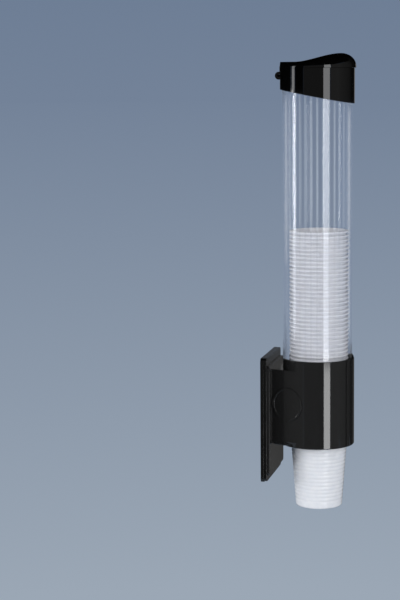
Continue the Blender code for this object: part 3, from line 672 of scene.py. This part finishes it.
def makeBracket():
    size = bracketSizes
    body = addSlab(
        "bracketBody", size["flangeWidth"], size["flangeHeight"], size["flangeBack"],
        size["flangeFront"], size["flangeCorner"], size["flangeEdge"],
    )
    radius, bottom, top = size["radius"], size["bottom"], size["top"]
    profile = [(0, bottom), (radius, bottom), (radius, top), (0, top)]
    sleeve = spinRound("sleeve", profile, tubeAxisY, size["steps"], closed=False)
    startEdit(sleeve)
    bevelEdges(
        size["bottomEdge"], 4, lambda e: middle(e).z < bottom + closeBy and onRim(e, radius),
    )
    bevelEdges(size["topEdge"], 3, lambda e: middle(e).z > top - closeBy and onRim(e, radius))
    stopEdit()
    joinSolids(body, makeNeck(), sleeve)
    over = mm
    bore = spinRound(
        "bore",
        [
            (0, bottom - over), (size["lipBore"], bottom - over),
            (size["lipBore"], size["lipTop"]), (size["bore"], size["lipTop"]),
            (size["bore"], top + over), (0, top + over),
        ],
        tubeAxisY, size["steps"], closed=False,
    )
    rearNotch = addBlock(
        "rearNotch", (-size["notchHalf"], tubeAxisY + size["notchBehind"], size["neckTop"]),
        (size["notchHalf"], size["flangeFront"] - size["notchGap"], top + over),
    )
    cutAway(body, bore, rearNotch)
    for name, angle, inside, low in (
        ("trimSeat", size["seatAngle"], size["seatRadius"], bottom - over),
        ("frontDip", size["dipAngle"], size["dipInside"], size["dipHeight"]),
    ):
        outline = arcPoints(inside, -angle, angle, 44, low)
        outline += arcPoints(radius + size["cutReach"], angle, -angle, 44, low)
        cutAway(body, raiseOutline(name, outline, top + over - low))
    for sign in (-1, 1):
        centre, outward = discPlace(sign)
        seat = centre - outward * discSizes["seat"]
        room = discSizes["radius"] + discSizes["gap"]
        cutAway(body, addRod("discSeat", seat, centre + outward * size["cutReach"], room, 96))
    settle(body, satinAbs, ["bracket_body"], smooth=32)


def onRim(edge, radius):
    # true for an edge that runs round the tube's axis at that radius
    return all(
        abs(math.hypot(v.co.x, v.co.y - tubeAxisY) - radius) < 0.05 * mm for v in edge.verts
    )


def makeSideDiscs():
    # a plain ringed disc on each side of the neck
    size = discSizes
    for name, node, sign in (
        ("sideDiscLeft", "side_disc_left", -1), ("sideDiscRight", "side_disc_right", 1),
    ):
        centre, outward = discPlace(sign)
        top = centre + outward * size["proud"]
        under = centre - outward * (size["seat"] - size["gap"])
        disc = addRod(name, under, top, size["radius"], 128)
        startEdit(disc)
        pick("FACE", lambda f: f.normal.dot(outward) > 0.9)
        bpy.ops.mesh.inset(thickness=size["ring"])
        extrudeBy(-outward * size["dish"])
        bpy.ops.mesh.inset(thickness=size["flat"])
        stopEdit()
        roundEdges(disc, size["edge"], 3, 40)
        settle(disc, satinAbs, [node])


trimSizes = {
    "halfAngle": math.radians(30.8), "panelAngle": math.radians(23.5), "inner": 43.3 * mm,
    "outer": 44.6 * mm, "panelDepth": 0.9 * mm, "bottom": -31.2 * mm,
    "hornTop": 73.7 * mm, "middleTop": 70.0 * mm, "edge": 0.55 * mm, "topEdge": 0.9 * mm,
}


def makeFrontTrim():
    # the strip down the sleeve's front: a sunk panel between two raised borders, its top dipping
    size = trimSizes
    half, panel = size["halfAngle"], size["panelAngle"]
    sunk = size["outer"] - size["panelDepth"]
    outline = arcPoints(size["outer"], -half, -panel, 12)
    outline += arcPoints(sunk, -panel, panel, 48)
    outline += arcPoints(size["outer"], panel, half, 12)
    outline += arcPoints(size["inner"], half, -half, 72)
    outline = [point + Vector((0, 0, size["bottom"])) for point in outline]
    trim = raiseOutline("frontTrim", outline, size["middleTop"] - size["bottom"])
    startEdit(trim)
    mesh = bmesh.from_edit_mesh(trim.data)
    for vert in mesh.verts:
        if vert.co.z > 0:
            share = math.atan2(-vert.co.x, tubeAxisY - vert.co.y) / half
            vert.co.z += (size["hornTop"] - size["middleTop"]) * share ** 2
    bmesh.update_edit_mesh(trim.data)
    # the front edge of its top, without the upright edges that meet it
    bevelEdges(
        size["topEdge"], 4,
        lambda e: middle(e).z > 60 * mm and onRim(e, size["outer"]) and abs(along(e).z) < 0.7,
    )
    stopEdit()
    roundEdges(trim, size["edge"], 3, 40)
    settle(trim, satinAbs, ["front_trim"])


makeBracket()
makeSideDiscs()
makeFrontTrim()
print("bracket, side discs and front strip made")


# Gate: the ring that the tube stands on, and the fingers that hold the lowest rim

gateSizes = {
    "bore": 37.8 * mm, "outer": 41.0 * mm, "bottom": -29.2 * mm, "top": -8.8 * mm,
    "mouth": 1.2 * mm, "fingers": 4, "width": 10 * mm, "thickness": 1.2 * mm,
    "fingerTop": -23.7 * mm, "root": 39.3 * mm, "tip": 34.4 * mm, "gap": 0.3 * mm,
    "tipRound": 3 * mm, "fingerEdge": 0.25 * mm, "slotReach": 2 * mm,
}


def makeGate():
    size = gateSizes
    gap = size["gap"]
    ring = spinRound(
        "gateRing",
        [
            (size["bore"], size["bottom"]), (size["outer"], size["bottom"]),
            (size["outer"], size["top"]), (size["bore"] + size["mouth"], size["top"]),
            (size["bore"], size["top"] - size["mouth"]),
        ],
        tubeAxisY, 128,
    )
    half = size["width"] / 2
    low, high = size["fingerTop"] - size["thickness"], size["fingerTop"]
    lean = tubeAxisY - cupAxisY
    for number in range(size["fingers"]):
        angle = math.radians(45 + 360 * number / size["fingers"])
        place = Matrix.Translation((0, tubeAxisY, 0)) @ Matrix.Rotation(-angle, 4, "Z")
        slot = addBlock(
            "fingerSlot", (-half - gap, -size["root"] - gap, low - gap),
            (half + gap, -size["bore"] + size["slotReach"], high + gap),
        )
        slot.data.transform(place)
        cutAway(ring, slot)
        reach = size["tip"] + lean * math.cos(angle)
        finger = addBlock(f"finger{number + 1}", (-half, -size["root"], low), (half, -reach, high))
        startEdit(finger)
        bevelEdges(
            size["tipRound"], 6,
            lambda e: abs(along(e).z) > 0.9 and middle(e).y > -size["root"] + mm,
        )
        stopEdit()
        roundEdges(finger, size["fingerEdge"], 2, 40)
        finger.data.transform(place)
        settle(finger, fingerRubber, [f"retaining_finger_{number + 1}"])
    settle(ring, gatePlastic, ["gate_ring"], smooth=30)


makeGate()
print("gate made")


# Clear tube with shallow flutes down its outside

tubeSizes = {
    "radius": 41.0 * mm, "bore": 39.4 * mm, "flutes": 36, "depth": 0.10 * mm,
    "sidesPerFlute": 30, "turn": tubeLook["turn"], "narrow": 6,
}


def makeTube():
    size = tubeSizes
    sides = size["flutes"] * size["sidesPerFlute"]
    low = tubeLow.z
    deselectAll()
    bpy.ops.mesh.primitive_circle_add(
        vertices=sides, radius=size["radius"], location=(0, tubeAxisY, low),
    )
    tube = nameActive("cupTube")
    freeze()
    startEdit(tube)
    mesh = bmesh.from_edit_mesh(tube.data)
    for vert in mesh.verts:
        angle = math.atan2(-vert.co.x, tubeAxisY - vert.co.y)
        ridge = (1 + math.cos((angle - size["turn"]) * size["flutes"])) / 2
        valley = 1 - ridge ** size["narrow"]
        vert.co = onArc(size["radius"] - size["depth"] * valley, angle, low)
    bmesh.update_edit_mesh(tube.data)
    bpy.ops.mesh.primitive_circle_add(
        vertices=sides, radius=size["bore"], location=(0, tubeAxisY, low),
    )
    selectAll()
    bpy.ops.mesh.bridge_edge_loops()
    selectAll()
    extrudeBy((0, 0, tubeHigh.z - low))
    tidyShell()
    stopEdit()
    settle(tube, clearStyrene, ["cup_tube"], weighted=False)


makeTube()
print("tube made")


# Cups: the one to pull, the top one, and the nested ones between them

cupSizes = {
    "rim": 35.15 * mm, "neck": 33.9 * mm, "base": 27.6 * mm, "height": 87.6 * mm,
    "rimHeight": 3.0 * mm, "wall": 0.3 * mm, "floor": 0.8 * mm, "pitch": 4.866 * mm,
    "count": 51, "ribs": 17, "ribDepth": 0.5 * mm, "ribsFrom": 5.5 * mm, "foot": 2.4 * mm,
    "dimple": 0.6 * mm, "steps": 96, "nestedSteps": 64,
}
# the nested ones show only their rims, with deep grooves between them
nestedSizes = {**cupSizes, "neck": 32.5 * mm, "base": 26.8 * mm, "ribs": 0}


def wallRadius(size, height):
    # outside of the plain wall at a height above the base
    share = height / (size["height"] - size["rimHeight"])
    return size["base"] + (size["neck"] - size["base"]) * share


def cupProfile(size, footSteps, rimSteps):
    # open line from the middle of the underside, up the outside, over the rim and down the inside
    foot, wall, ribs = size["foot"], size["wall"], size["ribs"]
    footEdge = wallRadius(size, foot)
    line = [(0, size["dimple"]), (size["base"] * 0.80, size["dimple"]), (size["base"] * 0.84, 0)]
    for step in range(footSteps + 1):
        turn = math.pi / 2 * step / footSteps
        line.append((footEdge - foot * (1 - math.sin(turn)), foot * (1 - math.cos(turn))))
    first, last = size["ribsFrom"], size["height"] - size["rimHeight"] - mm
    for number in range(ribs):
        for share, depth in ((0.10, 0.0), (0.45, 0.0), (0.65, 1.0), (0.90, 1.0)):
            height = first + (last - first) * (number + share) / ribs
            line.append((wallRadius(size, height) - depth * size["ribDepth"], height))
    top, bead = size["height"], size["rimHeight"]
    line.append((size["neck"], top - bead))
    for step in range(rimSteps + 1):
        # the rolled bead, from its underside round to its top
        turn = math.pi * (step / rimSteps - 0.5)
        out = math.cos(turn) ** 0.6
        line.append((
            size["neck"] + (size["rim"] - size["neck"]) * out,
            top - bead / 2 + bead / 2 * math.sin(turn),
        ))
    line += [
        (size["neck"] - wall, top - 0.5 * mm), (size["neck"] - 2 * wall, top - bead),
    ]
    for number in reversed(range(ribs)):
        for share, depth in ((0.90, 1.0), (0.65, 1.0), (0.45, 0.0), (0.10, 0.0)):
            height = first + (last - first) * (number + share) / ribs
            line.append((wallRadius(size, height) - wall - depth * size["ribDepth"], height))
    line += [
        (footEdge - wall, foot), (size["base"] - foot, size["floor"] + size["dimple"]),
        (0, size["floor"] + size["dimple"]),
    ]
    return line


def placeCup(name, base, size, steps, footSteps=6, rimSteps=8):
    line = [(radius, height + base) for radius, height in cupProfile(size, footSteps, rimSteps)]
    return spinRound(name, line, cupAxisY, steps, closed=False)


def makeCups():
    size = cupSizes
    topBase = cupLow.z + (size["count"] - 1) * size["pitch"]
    settle(
        placeCup("lowestCup", cupLow.z, size, size["steps"]),
        cupPoly, ["cup_bottom"], "pulled_cup", weighted=False,
    )
    settle(
        placeCup("topCup", topBase, {**nestedSizes, "ribs": size["ribs"]}, size["steps"]),
        cupPoly, ["cup_top"], "stack", weighted=False,
    )
    nested = placeCup(
        "nestedCups", cupLow.z + size["pitch"], nestedSizes, size["nestedSteps"], 2, 6,
    )
    copies = [copyPiece(nested, f"nestedCup{number}") for number in range(size["count"] - 3)]
    for number, cup in enumerate(copies, 1):
        cup.location.z = number * size["pitch"]
    activate(nested)
    for cup in copies:
        cup.select_set(True)
    bpy.ops.object.join()
    settle(nested, cupPoly, ["cup_stack"], "stack", weighted=False)


makeCups()
print("cups made")


# Cap: a collar cut at a slant, a lid on a hinge, and the hinge's pin

capSizes = {
    "radius": 43.7 * mm, "tubeRoom": 41.3 * mm, "top": 412 * mm, "bottomRear": 388.4 * mm,
    "bottomFront": 371.2 * mm, "shelfBore": 38.6 * mm, "shelfLow": 399.8 * mm,
    "shelfHigh": 402 * mm, "mouth": 40.0 * mm, "edge": 0.4 * mm,
    "hingeY": -16.7 * mm, "hingeZ": 404 * mm, "knuckle": 4.6 * mm, "knuckleHalf": 6.6 * mm,
    "lugInner": 7.2 * mm, "lugOuter": 12.5 * mm, "pin": 1.5 * mm, "pinHalf": 12.2 * mm,
    "gap": 0.3 * mm, "notchGap": 0.2 * mm, "notchFront": 2.2 * mm, "notchBack": 10 * mm,
    "pinEdge": 0.3 * mm,
}
lidSizes = {
    "forward": 0.7 * mm, "radius": 44.6 * mm, "lip": 1.7 * mm, "wall": 1.9 * mm,
    "peak": 15.3 * mm, "rear": 6.1 * mm, "riseStart": -26 * mm, "peakAt": 28 * mm, "steps": 144,
}


def makeCollar():
    size = capSizes
    low = size["bottomFront"] - 2 * mm
    collar = spinRound(
        "capCollar",
        [
            (size["radius"], low), (size["radius"], size["top"]), (size["mouth"], size["top"]),
            (size["mouth"], size["shelfHigh"]), (size["shelfBore"], size["shelfHigh"]),
            (size["shelfBore"], size["shelfLow"]), (size["tubeRoom"], size["shelfLow"]),
            (size["tubeRoom"], low),
        ],
        tubeAxisY, 160,
    )
    slope = (size["bottomRear"] - size["bottomFront"]) / (2 * size["radius"])
    halfway = (size["bottomRear"] + size["bottomFront"]) / 2
    startEdit(collar)
    selectAll()
    bpy.ops.mesh.bisect(
        plane_co=(0, tubeAxisY, halfway), plane_no=(0, -slope, 1),
        use_fill=True, clear_inner=True,
    )
    tidyShell()
    stopEdit()
    y, z, radius = size["hingeY"], size["hingeZ"], size["knuckle"]
    for sign in (-1, 1):
        start = (sign * (size["lugInner"] - mm), y, z)
        lug = addRod("lug", start, (sign * size["lugOuter"], y, z), radius, 64)
        joinSolids(collar, lug)
    half = size["lugInner"] - size["notchGap"]
    cutAway(
        collar,
        addBlock(
            "knuckleNotch", (-half, y - radius - size["notchFront"], z - radius - size["gap"]),
            (half, y + size["notchBack"], size["top"] + 2 * mm),
        ),
        addRod(
            "pinHole", (-size["lugOuter"] - mm, y, z), (size["lugOuter"] + mm, y, z),
            size["pin"] + size["gap"], 32,
        ),
    )
    roundEdges(collar, size["edge"], 3, 40)
    settle(collar, glossAbs, ["cap_collar"], smooth=32)


def lidRidge(ahead):
    # the dome's height above its lip, at a distance in front of the tube's axis
    size = lidSizes
    if ahead <= size["peakAt"]:
        share = (ahead - size["riseStart"]) / (size["peakAt"] - size["riseStart"])
        share = min(max(share, 0.0), 1.0)
        return size["rear"] + (size["peak"] - size["rear"]) * share * share * (3 - 2 * share)
    share = (ahead - size["peakAt"]) / (size["forward"] + size["radius"] - size["peakAt"])
    return size["peak"] * math.sqrt(max(0.0, 1 - share * share))


def makeLid():
    size, cap = lidSizes, capSizes
    seam = cap["top"] + cap["gap"]
    lipTop = seam + size["lip"]
    centreY = tubeAxisY - size["forward"]
    deselectAll()
    bpy.ops.mesh.primitive_uv_sphere_add(
        segments=size["steps"], ring_count=72, radius=size["radius"], location=(0, centreY, 0),
    )
    lid = nameActive("lid")
    freeze()
    startEdit(lid)
    selectAll()
    bpy.ops.mesh.bisect(plane_co=(0, 0, 0), plane_no=(0, 0, 1), clear_inner=True)
    mesh = bmesh.from_edit_mesh(lid.data)
    for vert in mesh.verts:
        ahead = centreY - vert.co.y
        width = math.sqrt(max(size["radius"] ** 2 - ahead ** 2, 0.01 * mm * mm))
        bulge = min(1.0, max(0.0, vert.co.z) / width)
        vert.co.z = lipTop + lidRidge(ahead + size["forward"]) * bulge
    bmesh.update_edit_mesh(lid.data)
    pick("EDGE", lambda e: e.is_boundary)
    extrudeBy((0, 0, -size["lip"]))
    tidyShell()
    stopEdit()
    applyModifier(lid, "SOLIDIFY", thickness=size["wall"], offset=-1.0, use_even_offset=True)
    y, z, radius = cap["hingeY"], cap["hingeZ"], cap["knuckle"]
    half = cap["knuckleHalf"]
    joinSolids(
        lid,
        addRod("knuckle", (-half, y, z), (half, y, z), radius, 64),
        addBlock("arm", (-half, y - radius * 0.9, z), (half, y + 0.2 * mm, lipTop + 0.8 * mm)),
    )
    hole = cap["pin"] + cap["gap"]
    cutAway(lid, addRod("pinHole", (-2 * half, y, z), (2 * half, y, z), hole, 32))
    settle(lid, glossAbs, ["lid"], "lid", smooth=32)


def makePin():
    cap = capSizes
    half, y, z = cap["pinHalf"], cap["hingeY"], cap["hingeZ"]
    pin = addRod("hingePin", (-half, y, z), (half, y, z), cap["pin"], 40)
    roundEdges(pin, cap["pinEdge"])
    settle(pin, blackSteel, ["hinge_pin"])


makeCollar()
makeLid()
makePin()
print("cap made")


# Camera at the photograph's angle; the frame is 400 by 600 pixels

cameraSizes = {
    "place": (-1.8766, -0.3574, 0.384), "focalPixels": 1610, "framePixels": 600,
    "turnLeft": math.radians(4.205), "pitchDown": math.radians(7.3), "roll": math.radians(-0.55),
}


def makeCamera():
    size = cameraSizes
    place = Vector(size["place"])
    level = Vector((0, tubeAxisY, 0)) - Vector((place.x, place.y, 0))
    level = Matrix.Rotation(size["turnLeft"], 3, "Z") @ level.normalized()
    ahead = level * math.cos(size["pitchDown"]) - Vector((0, 0, math.sin(size["pitchDown"])))
    right = ahead.cross(Vector((0, 0, 1))).normalized()
    up = right.cross(ahead)
    roll = size["roll"]
    right, up = (
        right * math.cos(roll) + up * math.sin(roll), up * math.cos(roll) - right * math.sin(roll),
    )
    deselectAll()
    bpy.ops.object.camera_add(location=place)
    camera = nameActive("camera")
    camera.rotation_euler = Matrix((right, up, -ahead)).transposed().to_euler()
    camera.data.lens = camera.data.sensor_width * size["focalPixels"] / size["framePixels"]
    camera.data.clip_end = 600  # past the floor's far edge
    scene.camera = camera


# Studio: a floor that fades into the backdrop, strip lamps in bands of height, and a soft sky

studioSizes = {
    "floorHeight": -1.0, "floorRadius": 300.0, "nearColour": "9ba7b5",
    "skyLow": "738298", "skyHigh": "6e7e95", "skyFade": 0.06,
    "ambient": "dcdde0", "ambientStrength": 0.54,
    "shadowNear": 0.8, "shadowFar": 2.4, "shadowShare": 0.6, "fadeFrom": 4.4, "fadeReach": 1.9,
    "softAim": 0.15, "overheadHeight": 1.9, "overheadWidth": 4.6,
}


def seenDirectly(tree):
    # 1 for rays from the camera, off a shiny surface or through a clear one
    rays = addNode(tree, "LightPath").node.outputs
    seen = rays["Is Camera Ray"]
    for kind in ("Is Glossy Ray", "Is Transmission Ray"):
        seen = addNode(tree, "Math", {"operation": "MAXIMUM"}, {0: seen, 1: rays[kind]})
    return seen


def makeFloor():
    size = studioSizes
    deselectAll()
    bpy.ops.mesh.primitive_circle_add(
        vertices=128, radius=size["floorRadius"], fill_type="NGON",
        location=(0, 0, size["floorHeight"]),
    )
    floor = nameActive("floor")
    made, tree = startMaterial("painted_floor")
    place = addNode(tree, "TexCoord", give="Object")
    away = addNode(tree, "VectorMath", {"operation": "LENGTH"}, {0: place}, "Value")
    further = addNode(tree, "Math", {"operation": "ADD", 1: size["fadeReach"]}, {0: away})
    near = addNode(
        tree, "Math", {"operation": "DIVIDE", 0: size["fadeFrom"], "use_clamp": True}, {1: further},
    )
    colour = addNode(
        tree, "Mix",
        {"data_type": "RGBA", 6: linear(size["skyLow"]), 7: linear(size["nearColour"])},
        {0: near}, 2,
    )
    paint = addNode(tree, "BsdfDiffuse", links={"Color": colour})
    glow = addNode(tree, "Emission", {"Strength": 1.0}, {"Color": colour})
    # under the object the floor takes light and shadow, and further out it melts into the backdrop
    share = addNode(
        tree, "MapRange",
        {
            "From Min": size["shadowNear"], "From Max": size["shadowFar"],
            "To Min": 1 - size["shadowShare"],
        },
        {"Value": away},
    )
    seen = addNode(tree, "Math", {"operation": "MULTIPLY"}, {0: seenDirectly(tree), 1: share})
    shader = addNode(tree, "MixShader", links={0: seen, 1: paint, 2: glow})
    addNode(tree, "OutputMaterial", links={"Surface": shader})
    floor.data.materials.append(made)


def makeSky():
    size = studioSizes
    world = bpy.data.worlds.new("studio")
    world.use_nodes = True
    tree = world.node_tree
    tree.nodes.clear()
    direction = addNode(tree, "TexCoord", give="Generated")
    height = addNode(tree, "SeparateXYZ", links={0: direction}, give="Z")
    risen = addNode(tree, "MapRange", {"From Max": size["skyFade"]}, {"Value": height})
    colour = addNode(
        tree, "Mix", {"data_type": "RGBA", 6: linear(size["skyLow"]), 7: linear(size["skyHigh"])},
        {0: risen}, 2,
    )
    backdrop = addNode(tree, "Background", {"Strength": 1.0}, {"Color": colour})
    soft = addNode(
        tree, "Background",
        {"Color": linear(size["ambient"]), "Strength": size["ambientStrength"]},
    )
    mixed = addNode(tree, "MixShader", links={0: seenDirectly(tree), 1: soft, 2: backdrop})
    addNode(tree, "OutputWorld", links={"Surface": mixed})
    scene.world = world


# Each row: the angle round the tube from the camera's side, positive to the camera's right, then
# distance, low and high end, width, brightness, and whether it shows. Those that show are strips
# in the gloss, split because each part mirrors its own band of height. The others only light.
lampSizes = {
    "rightLow": (29.2, 2.0, -1.0, -0.262, 0.68, 7.2, True),
    "rightMiddle": (28.2, 2.0, -0.262, 0.052, 0.64, 1.3, True),
    "rightHigh": (28.0, 2.0, 0.052, 1.6, 0.70, 3.6, True),
    "leftLow": (-83.5, 2.0, -0.2, 0.052, 0.32, 3.5, True),
    "leftMiddle": (-83.5, 2.0, 0.052, 0.386, 0.34, 12.0, True),
    "leftHigh": (-78.5, 2.0, 0.386, 1.6, 0.34, 3.2, True),
    "fillLeft": (-64.0, 2.4, -0.2, 0.7, 1.2, 2.7, False),
    "fillBelow": (-74.0, 1.2, -0.96, -0.3, 0.9, 3.4, False),
    "fillRight": (54.0, 2.4, -0.8, 0.6, 0.9, 2.8, False),
    "soft": (-20.0, 2.6, 1.2, 2.8, 1.8, 2.9, False),
}


def placeAround(angle, distance, height):
    towards = Vector(cameraSizes["place"]) - Vector((0, tubeAxisY, 0))
    towards.z = 0
    way = Matrix.Rotation(math.radians(angle), 3, "Z") @ towards.normalized()
    return Vector((0, tubeAxisY, height)) + way * distance


def makeLamps():
    for name, (angle, distance, low, high, width, bright, shows) in lampSizes.items():
        centre = (low + high) / 2
        place = placeAround(angle, distance, centre)
        deselectAll()
        bpy.ops.object.light_add(type="AREA", location=place)
        lamp = nameActive(name + "Lamp")
        lamp.data.shape = "RECTANGLE"
        lamp.data.size, lamp.data.size_y = width, high - low
        lamp.data.energy = bright * math.pi * lamp.data.size * lamp.data.size_y
        aim = Vector((0, tubeAxisY, centre if shows else studioSizes["softAim"])) - place
        lamp.rotation_euler = aim.to_track_quat("-Z", "Y").to_euler()
        lamp.visible_camera = False
        lamp.visible_glossy = shows


# Flags and cards that only the gloss sees, black ones beside the strips, as on a product table.
# Each row: angle, distance, width, low and high end, brightness at the near and at the far side.
# Cap, tube, sleeve and lowest cup each mirror a band of height of their own.
cardSizes = [
    (-57.5, 2.3, 1.10, 0.386, 1.9, 0.0, 0.0),
    (-57.5, 2.3, 1.10, -0.27, 0.386, 0.1, 0.1),
    (-57.5, 2.3, 1.10, -1.0, -0.27, 0.1, 0.1),
    (-120.0, 2.3, 2.66, 0.386, 1.9, 0.0, 0.0),
    (-110.5, 2.3, 3.80, -0.62, -0.27, 0.0, 0.0),
    (-158.0, 2.3, 0.78, 0.386, 1.9, 0.0, 0.0),
    (-179.5, 2.3, 1.06, 0.60, 1.9, 0.0, 0.0),
    (-179.5, 2.3, 1.06, 0.386, 0.60, 0.17, 0.17),
    (174.0, 2.3, 0.52, -0.62, -0.27, 0.02, 0.02),
    (-12.0, 2.7, 3.2, -0.25, 1.9, 0.14, 0.14),
    (-12.0, 2.7, 3.2, -1.0, -0.25, 0.05, 0.05),
    (55.0, 2.7, 1.35, -0.262, 1.9, 0.26, 0.26),
    (55.0, 2.7, 1.35, -1.0, -0.262, 0.19, 0.19),
    (97.0, 2.5, 2.66, 0.355, 1.9, 0.24, 0.02),
    (97.0, 2.5, 2.66, -0.62, -0.27, 0.19, 0.02),
    (139.5, 2.3, 1.30, 0.355, 1.9, 0.02, 0.0),
    (161.5, 2.3, 0.54, 0.60, 1.9, 0.0, 0.0),
    (161.5, 2.3, 0.54, 0.355, 0.60, 0.26, 0.26),
    (135.0, 2.3, 0.92, -0.62, -0.27, 0.0, 0.02),
    (157.0, 2.3, 0.92, -0.62, -0.27, 0.09, 0.10),
    (162.0, 2.3, 1.00, -1.0, -0.56, 0.1, 0.1),
    (133.0, 2.3, 0.44, -0.24, 0.34, 1.2, 1.2),
    (-106.0, 2.3, 0.30, -0.05, 0.37, 1.4, 1.4),
    (-128.0, 2.3, 0.34, -0.05, 0.37, 1.2, 1.2),
]


def addCard(name, place, width, height, near, far, aimHeight):
    deselectAll()
    bpy.ops.mesh.primitive_plane_add(size=1, location=place)
    card = nameActive(name + "Card")
    card.scale = (width, height, 1)
    aim = Vector((0, tubeAxisY, aimHeight)) - place
    card.rotation_euler = aim.to_track_quat("-Z", "Y").to_euler()
    made, tree = startMaterial(name + "_card")
    inside = addNode(tree, "TexCoord", give="Object")
    across = addNode(tree, "SeparateXYZ", links={0: inside}, give="X")
    strength = addNode(
        tree, "MapRange", {"From Min": -0.5, "From Max": 0.5, "To Min": near, "To Max": far},
        {"Value": across},
    )
    shader = addNode(tree, "Emission", {"Color": (1, 1, 1, 1)}, {"Strength": strength})
    addNode(tree, "OutputMaterial", links={"Surface": shader})
    card.data.materials.append(made)
    card.visible_camera = card.visible_diffuse = False
    card.visible_transmission = card.visible_shadow = False


def makeCards():
    for number, (angle, distance, width, low, high, near, far) in enumerate(cardSizes, 1):
        place = placeAround(angle, distance, (low + high) / 2)
        addCard(f"side{number}", place, width, high - low, near, far, place.z)
    place = Vector((0, tubeAxisY, studioSizes["overheadHeight"]))
    width = studioSizes["overheadWidth"]
    addCard("overhead", place, width, width, 0.0, 0.0, 0)


makeCamera()
makeFloor()
makeSky()
makeLamps()
makeCards()
scene.view_settings.view_transform = "Standard"
print("studio made")
